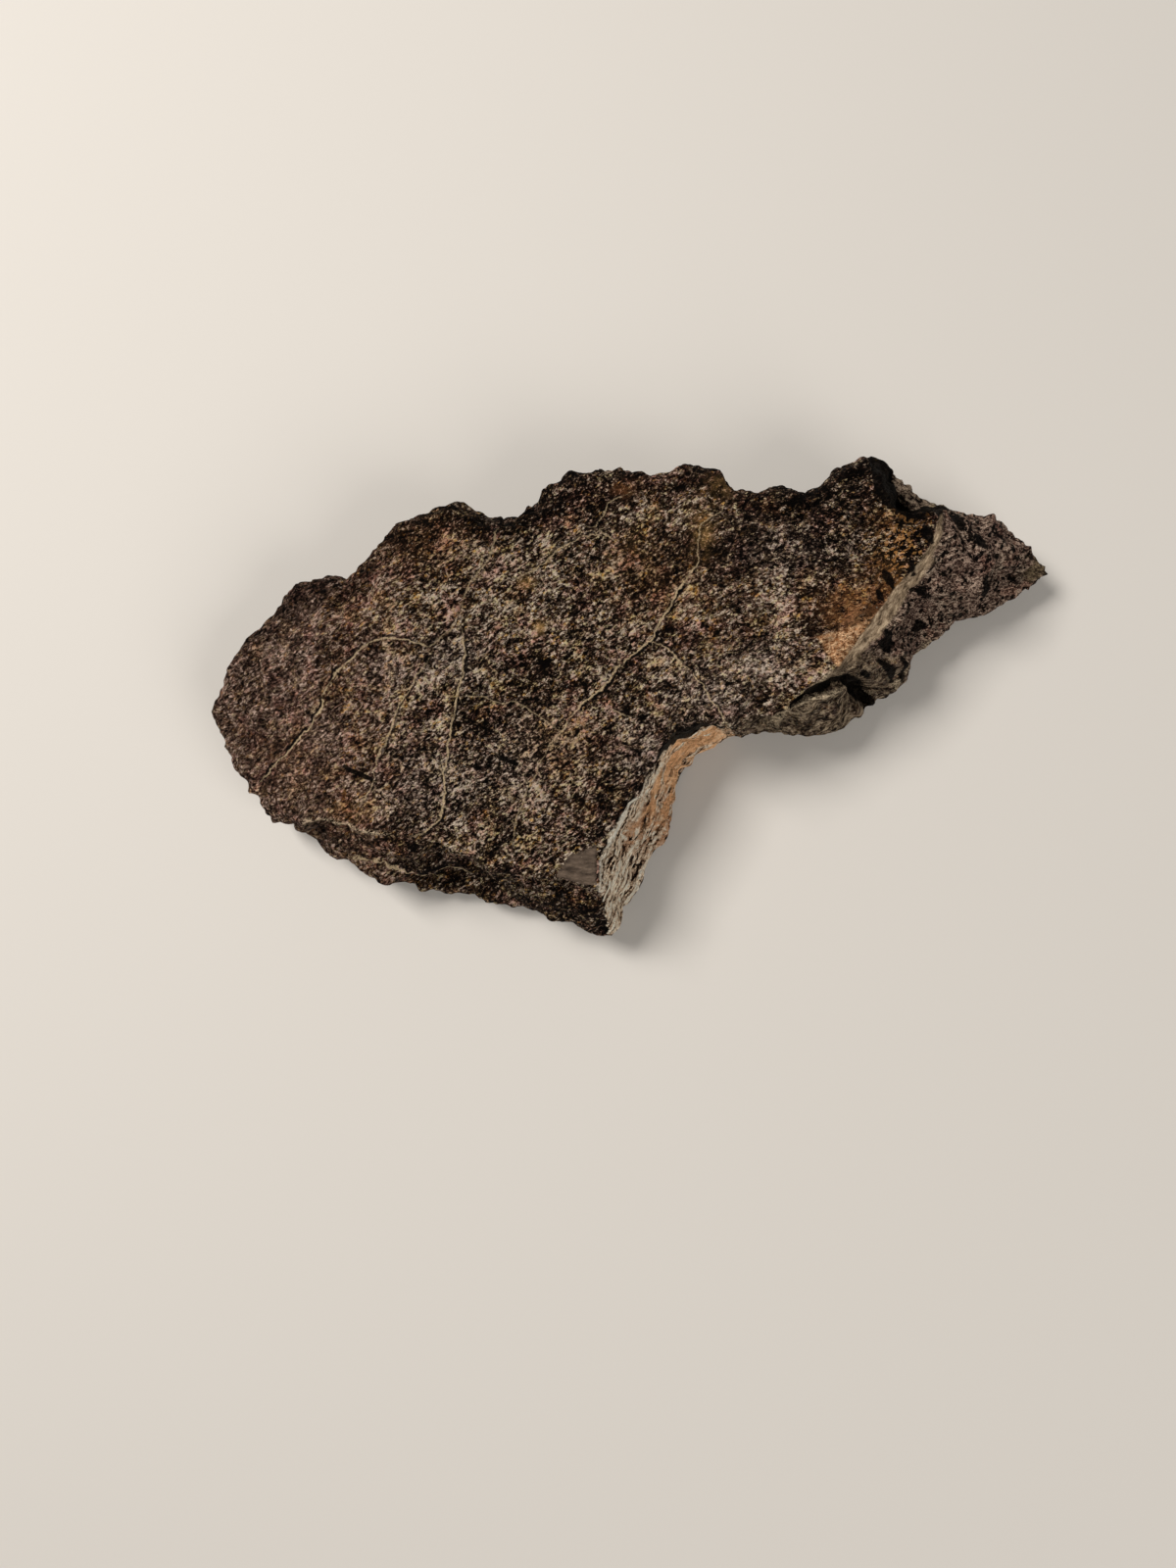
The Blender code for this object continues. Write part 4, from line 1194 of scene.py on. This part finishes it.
# Hollows and seams between the grains are darkened as painted shade
brightness = add_share(brightness, times(hollow, mask("uneven")), -0.5)
brightness = add_share(brightness, times(crevice, mask("uneven")), -0.45)
ground = ramp(
    brightness,
    (0.0, paint(5, 3, 2)),
    (0.22, paint(24, 15, 10)),
    (0.40, paint(54, 40, 31)),
    (0.50, paint(76, 60, 49)),
    (0.60, paint(98, 81, 68)),
    (0.76, paint(136, 119, 104)),
    (1.0, paint(206, 190, 172)),
)
reddish = step_between(noise(place(shift=(40.0, 0.0, 9.0)), 6.0, 3.0, 0.6), 0.50, 0.64)
olive = step_between(noise(place(shift=(0.0, 70.0, 3.0)), 5.0, 3.0, 0.6), 0.52, 0.64)
TINTS = (
    (times(reddish, 0.8), paint(248, 220, 224)),
    (times(olive, 0.8), paint(255, 246, 212)),
    (step_between(tint_draw, 0.76, 0.80), paint(255, 236, 230)),
    (step_between(tint_draw, 0.30, 0.26), paint(248, 250, 224)),
    (step_between(tint_draw, 0.07, 0.05), paint(255, 224, 180)),
)
for where, tint in TINTS:
    ground = blend(where, ground, tint, "MULTIPLY")
# The blunt end is greyer in its own colour; the brighter patches are greyed as painted sheen
ground = blend(times(mask("cool_and_sheen"), 0.4), ground, paint(122, 110, 104), "COLOR")
blunt_tint = calc("SUBTRACT", 1.0, mask("uneven"))
ground = blend(blunt_tint, ground, paint(255, 238, 238), "MULTIPLY")
rusty_grain = times(step_between(glint_and_rust_draw, 0.74, 0.78), mask("ridge_zone"), 0.5)
ground = blend(rusty_grain, ground, paint(226, 168, 104))
print("ground ready,", len(TINTS), "tints")

# %% [markdown]
# ### Stains and veins over the ground
#
# A stain tints what it soaks into and leaves the flecks showing, so it multiplies the ground
# before it covers it. A vein is a thin pale line, and a dark line beside it is its painted
# shadow. Noise makes both come and go.

# %% Stains
stain_node = tree.nodes.new("ShaderNodeAttribute")
stain_node.attribute_name = "stain"
blotch = add_share(times(noise(level, 2.6, 3.0, 0.6), 0.4), fleck, 0.6)
blotch = step_between(blotch, 0.40, 0.54)
stained = times(stain_node.outputs["Alpha"], blotch)
tinted = blend(stained, ground, paint(255, 226, 190), "MULTIPLY")
tinted = blend(times(mask("cover"), blotch), tinted, stain_node.outputs["Color"])
ochre_here = times(mask("ochre_patch"), add_share(0.5, blotch, 0.35))
grainy_rust = ramp(
    fine_fleck,
    (0.38, paint(150, 96, 56)),
    (0.50, paint(222, 168, 122)),
    (0.62, paint(250, 212, 170)),
)
tinted = blend(ochre_here, tinted, grainy_rust)
print("stains ready")

# %% Veins
VEIN_COLOUR = paint(198, 176, 142)
VEIN_WANDER = 2.2
VEIN_SHADOW_OFFSET = 1.1
vein_wide = mask("vein_width")
wander = times(centred(noise(level, 2.2, 3.0, 0.65)), VEIN_WANDER)
vein_at = calc("ADD", mask("vein_gap"), wander)
near_vein = calc("DIVIDE", calc("ABSOLUTE", vein_at), vein_wide)
vein_comes = step_between(noise(level, 2.2, 3.0, 0.7), 0.33, 0.47)
vein_here = times(step_between(near_vein, 0.56, 0.24), mask("vein_show"), vein_comes)
# The dark line one vein width to the side is the vein's painted shadow
vein_shadow_at = calc("ABSOLUTE", add_share(vein_at, vein_wide, -VEIN_SHADOW_OFFSET))
near_vein_shadow = calc("DIVIDE", vein_shadow_at, vein_wide)
vein_shadow_comes = step_between(noise(level, 4.5, 2.0, 0.5), 0.36, 0.50)
vein_shadow_here = times(step_between(near_vein_shadow, 0.75, 0.4), mask("vein_show"), vein_shadow_comes)
face_colour = blend(vein_shadow_here, tinted, VEIN_SHADOW_COLOUR)
face_colour = blend(vein_here, face_colour, VEIN_COLOUR)
print("veins ready")

# %% [markdown]
# ### The fracture wall
#
# The wall is the youngest break: pale, and combed along its length. A noise stretched six to
# one gives the comb, at one angle in the south and another in the north, as the wall turns.
# Its lower part is browned and rusted.

# %% The wall
COMB_STRETCH = (6.0, 1.0, 1.0)
COMB_ANGLE_SOUTH, COMB_ANGLE_NORTH = 68.0, 42.0
south_comb = noise(place(COMB_ANGLE_SOUTH, COMB_STRETCH), 1.3, 3.0, 0.8, 0.3)
north_comb = noise(place(COMB_ANGLE_NORTH, COMB_STRETCH), 1.3, 3.0, 0.8, 0.3)
comb = mix_numbers(step_between(split.outputs["X"], 4.0, 11.0), south_comb, north_comb)
comb = add_share(times(noise(level, 0.8, 2.0, 0.7), 0.27), comb, 0.75)
wall_colour = ramp(
    comb,
    (0.43, paint(20, 12, 8)),
    (0.455, paint(98, 74, 54)),
    (0.48, paint(196, 166, 138)),
    (0.52, paint(252, 228, 198)),
    (0.58, paint(255, 249, 232)),
)
brown_here = times(mask("browned"), step_between(noise(level, 2.4, 3.0, 0.7), 0.44, 0.52))
wall_colour = blend(times(brown_here, 0.7), wall_colour, paint(196, 140, 92), "MULTIPLY")
rust_streaks = step_between(noise(along_flow(3.0), 3.0, 3.0, 0.6), 0.40, 0.52)
rust_here = times(mask("rusty"), rust_streaks)
wall_colour = blend(rust_here, wall_colour, paint(255, 224, 194), "MULTIPLY")
wall_colour = blend(times(rust_here, 0.6), wall_colour, paint(255, 198, 146))
lip_colour = ramp(
    comb,
    (0.42, paint(70, 54, 42)),
    (0.47, paint(226, 206, 180)),
    (0.54, paint(255, 250, 236)),
)
print("wall ready")

# %% [markdown]
# ### The flank
#
# The sloping flank is an even grey-brown with pits of two kinds, painted black as the shade in
# them. Round ones are where a grain fell out, so they sit in the cells of a pattern, each as
# large as a slow noise lets it be. Ragged ones are gaps, where a rough noise falls low.

# %% The flank and its pits
pit_cells = cells(place(70.0, (1.6, 1.0, 1.0)), 1.5).outputs["Distance"]
pit_size = calc("MULTIPLY_ADD", noise(level, 2.6, 3.0, 0.7), 0.95, -0.2)
round_pit = step_between(calc("SUBTRACT", pit_cells, pit_size), 0.03, -0.04)
ragged = add_share(times(noise(level, 4.2, 2.0, 0.6), 0.5), noise(level, 1.2, 2.0, 0.8), 0.5)
pit = calc("MAXIMUM", round_pit, step_between(ragged, 0.445, 0.425))
flank_colour = ramp(
    calc("MULTIPLY_ADD", centred(fine_fleck), 4.5, 0.5),
    (0.1, paint(56, 42, 36)),
    (0.50, paint(130, 108, 95)),
    (0.9, paint(206, 184, 166)),
)
flank_colour = blend(times(reddish, 0.6), flank_colour, paint(250, 214, 208), "MULTIPLY")
# The pits are painted black as the shade inside them
flank_colour = blend(pit, flank_colour, paint(9, 6, 5))
flank_tone = ramp(
    noise(level, 7.0, 2.0, 0.6),
    (0.38, paint(214, 206, 206)),
    (0.5, paint(244, 238, 236)),
    (0.62, paint(255, 255, 252)),
)
flank_colour = blend(1.0, flank_colour, flank_tone, "MULTIPLY")
tip_colour = ramp(fine_fleck, (0.40, paint(66, 54, 42)), (0.60, paint(142, 124, 98)))
flank_colour = blend(mask("tip"), flank_colour, tip_colour)
print("flank ready")

# %% [markdown]
# ### Lobes, facet, bevel and patch
#
# The lobes below the ridge are flaky, the facet east of the knob is streaked, the bevel is
# rubbed nearly plain along the ridge, and the patch beside the corner is a smooth dark scrap.
# Each is a short ramp over one stretched noise, which is all that such small places need.

# %% The small breaks
flaky = noise(along_flow(2.2), 1.0, 3.0, 0.8, 0.5)
flaky = add_share(times(noise(level, 3.0, 3.0, 0.7), 0.4), flaky, 0.6)
lobe_colour = ramp(
    flaky,
    (0.42, paint(6, 4, 3)),
    (0.47, paint(50, 39, 31)),
    (0.51, paint(104, 88, 71)),
    (0.57, paint(188, 168, 142)),
)
facet_colour = ramp(
    noise(place(-40.0, (2.5, 1.0, 1.0)), 1.1, 3.0, 0.8),
    (0.43, paint(16, 11, 9)),
    (0.49, paint(86, 71, 60)),
    (0.57, paint(160, 141, 122)),
)
bevel_colour = ramp(
    noise(along_flow(3.5), 0.9, 3.0, 0.8),
    (0.38, paint(78, 65, 51)),
    (0.5, paint(138, 119, 97)),
    (0.62, paint(184, 164, 138)),
)
patch_colour = ramp(
    noise(place(0.0, (3.0, 1.0, 1.0)), 1.2, 3.0, 0.7),
    (0.35, paint(58, 49, 42)),
    (0.65, paint(104, 90, 78)),
)
print("small breaks ready")

# %% [markdown]
# ### Laying the breaks over the face
#
# The masks end as softly as the mesh is coarse, which would look airbrushed. So a noise is
# added to a mask before it is cut off again, and the join comes out as ragged as a real one.
# The painted shadow comes last: near black, it stands for the shade in recesses and on
# sides that face away from the light.

# %% Layers, from the lowest up
RAGGEDNESS = 2.0
CREST_COLOUR = paint(226, 206, 174)
SHADOW_COLOUR = paint(7, 5, 4)
ragged_edge = times(centred(noise(level, 1.6, 3.0, 0.75)), RAGGEDNESS)
wall_here = step_between(calc("ADD", mask("wall"), ragged_edge), 0.35, 0.65)
rubbed_here = step_between(add_share(mask("rubbed"), ragged_edge, 0.5), 0.3, 0.8)
patch_here = step_between(calc("ADD", mask("patch"), ragged_edge), 0.4, 0.6)
crest_here = times(mask("crest"), step_between(fine_fleck, 0.42, 0.55), 0.9)
# Painted shadow, near black, over recesses and sides that face away from the light
shadow_here = step_between(add_share(mask("painted_shadow"), ragged_edge, 0.5), 0.3, 0.62)
LAYERS = (
    (wall_here, wall_colour),
    (times(mask("flank"), 0.95), flank_colour),
    (times(mask("lobes"), 0.85), lobe_colour),
    (mask("facet"), facet_colour),
    (times(mask("bevel"), 0.45), bevel_colour),
    (rubbed_here, bevel_colour),
    (patch_here, patch_colour),
    (mask("rim_lip"), lip_colour),
    (crest_here, CREST_COLOUR),
    (times(shadow_here, 0.96), SHADOW_COLOUR),
)
colour = face_colour
for where, layer in LAYERS:
    colour = blend(where, colour, layer)
put(shader, "Base Color", colour)
print(len(LAYERS), "layers over the face")

# %% [markdown]
# ### Grain and gloss
#
# The finest grain is a bump: flecks stand proud of the ground, pits sink. The stone is matt,
# but fresh crystal faces glint, so the palest flecks get a lower roughness.

# %% Bump and roughness
BUMP_MM = 1.0
CALM = 0.85
MATT, GLINT = 0.85, 0.35
SPECULAR = 0.05
height = add_share(times(calc("MAXIMUM", crevice, hollow), -0.5), centred(fleck), 4.0)
height = add_share(height, centred(shade_draw), 0.25)
height = add_share(height, times(comb, mask("wall")), 0.8)
height = add_share(height, times(pit, mask("flank")), -0.5)
calm_here = calc("MAXIMUM", mask("rubbed"), mask("patch"))
height = times(height, add_share(1.0, calm_here, -CALM))
bump = tree.nodes.new("ShaderNodeBump")
bump.inputs["Strength"].default_value = 1.0
bump.inputs["Distance"].default_value = BUMP_MM * METRES_PER_MM
put(bump, "Height", height)
put(shader, "Normal", bump.outputs["Normal"])
put(shader, "Roughness", add_share(MATT, step_between(fine_fleck, 0.5, 0.7), -GLINT))
shader.inputs["Specular IOR Level"].default_value = SPECULAR
mesh.materials.append(material)
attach(stone, "root")
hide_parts("meteorite")
print(len(tree.nodes), "nodes in the material")

# %% [markdown]
# ## Floor and light
#
# The stone lies on a plain pale floor. The light is soft and comes mostly from the upper
# left, as on the real stone, where every little ridge is pale on that side and dark on the
# other. A weaker light from the lower right keeps the fracture wall bright.

# %% Floor and lights
HALF_FLOOR = 6.0
LIGHT_COLOUR = (1.0, 0.95, 0.89)
SKY_COLOUR, SKY_STRENGTH = (1.0, 0.97, 0.93, 1.0), 0.15
floor_corners = [(HALF_FLOOR * east, HALF_FLOOR * north, 0.0)
                 for east, north in ((-1, -1), (1, -1), (1, 1), (-1, 1))]
floor_mesh = bpy.data.meshes.new("floor")
floor_mesh.from_pydata(floor_corners, [], [(0, 1, 2, 3)])
floor_material = bpy.data.materials.new("floor")
floor_material.use_nodes = True
floor_shader = floor_material.node_tree.nodes["Principled BSDF"]
floor_shader.inputs["Base Color"].default_value = (0.62, 0.60, 0.57, 1.0)
floor_shader.inputs["Roughness"].default_value = 0.9
floor_mesh.materials.append(floor_material)
floor = bpy.data.objects.new("floor", floor_mesh)
bpy.context.scene.collection.objects.link(floor)


def soft_light(name, direction, distance, size, power):
    """A square area light that looks at the stone from that direction."""
    data = bpy.data.lights.new(name, "AREA")
    data.size, data.energy = size, power
    data.color = LIGHT_COLOUR
    light = bpy.data.objects.new(name, data)
    way = unit(np.array(direction, float))
    light.location = way * distance
    light.rotation_mode = "QUATERNION"
    light.rotation_quaternion = Vector(way).to_track_quat("Z", "Y")
    bpy.context.scene.collection.objects.link(light)


soft_light("key", (-0.75, 0.5, 1.0), 1.1, 0.4, 12.5)
soft_light("fill", (0.8, -0.8, 0.9), 1.3, 0.8, 8.0)
world = bpy.data.worlds.new("studio")
world.use_nodes = True
world.node_tree.nodes["Background"].inputs["Color"].default_value = SKY_COLOUR
world.node_tree.nodes["Background"].inputs["Strength"].default_value = SKY_STRENGTH
bpy.context.scene.world = world
bpy.context.scene.view_settings.view_transform = "Standard"
print("lights on")
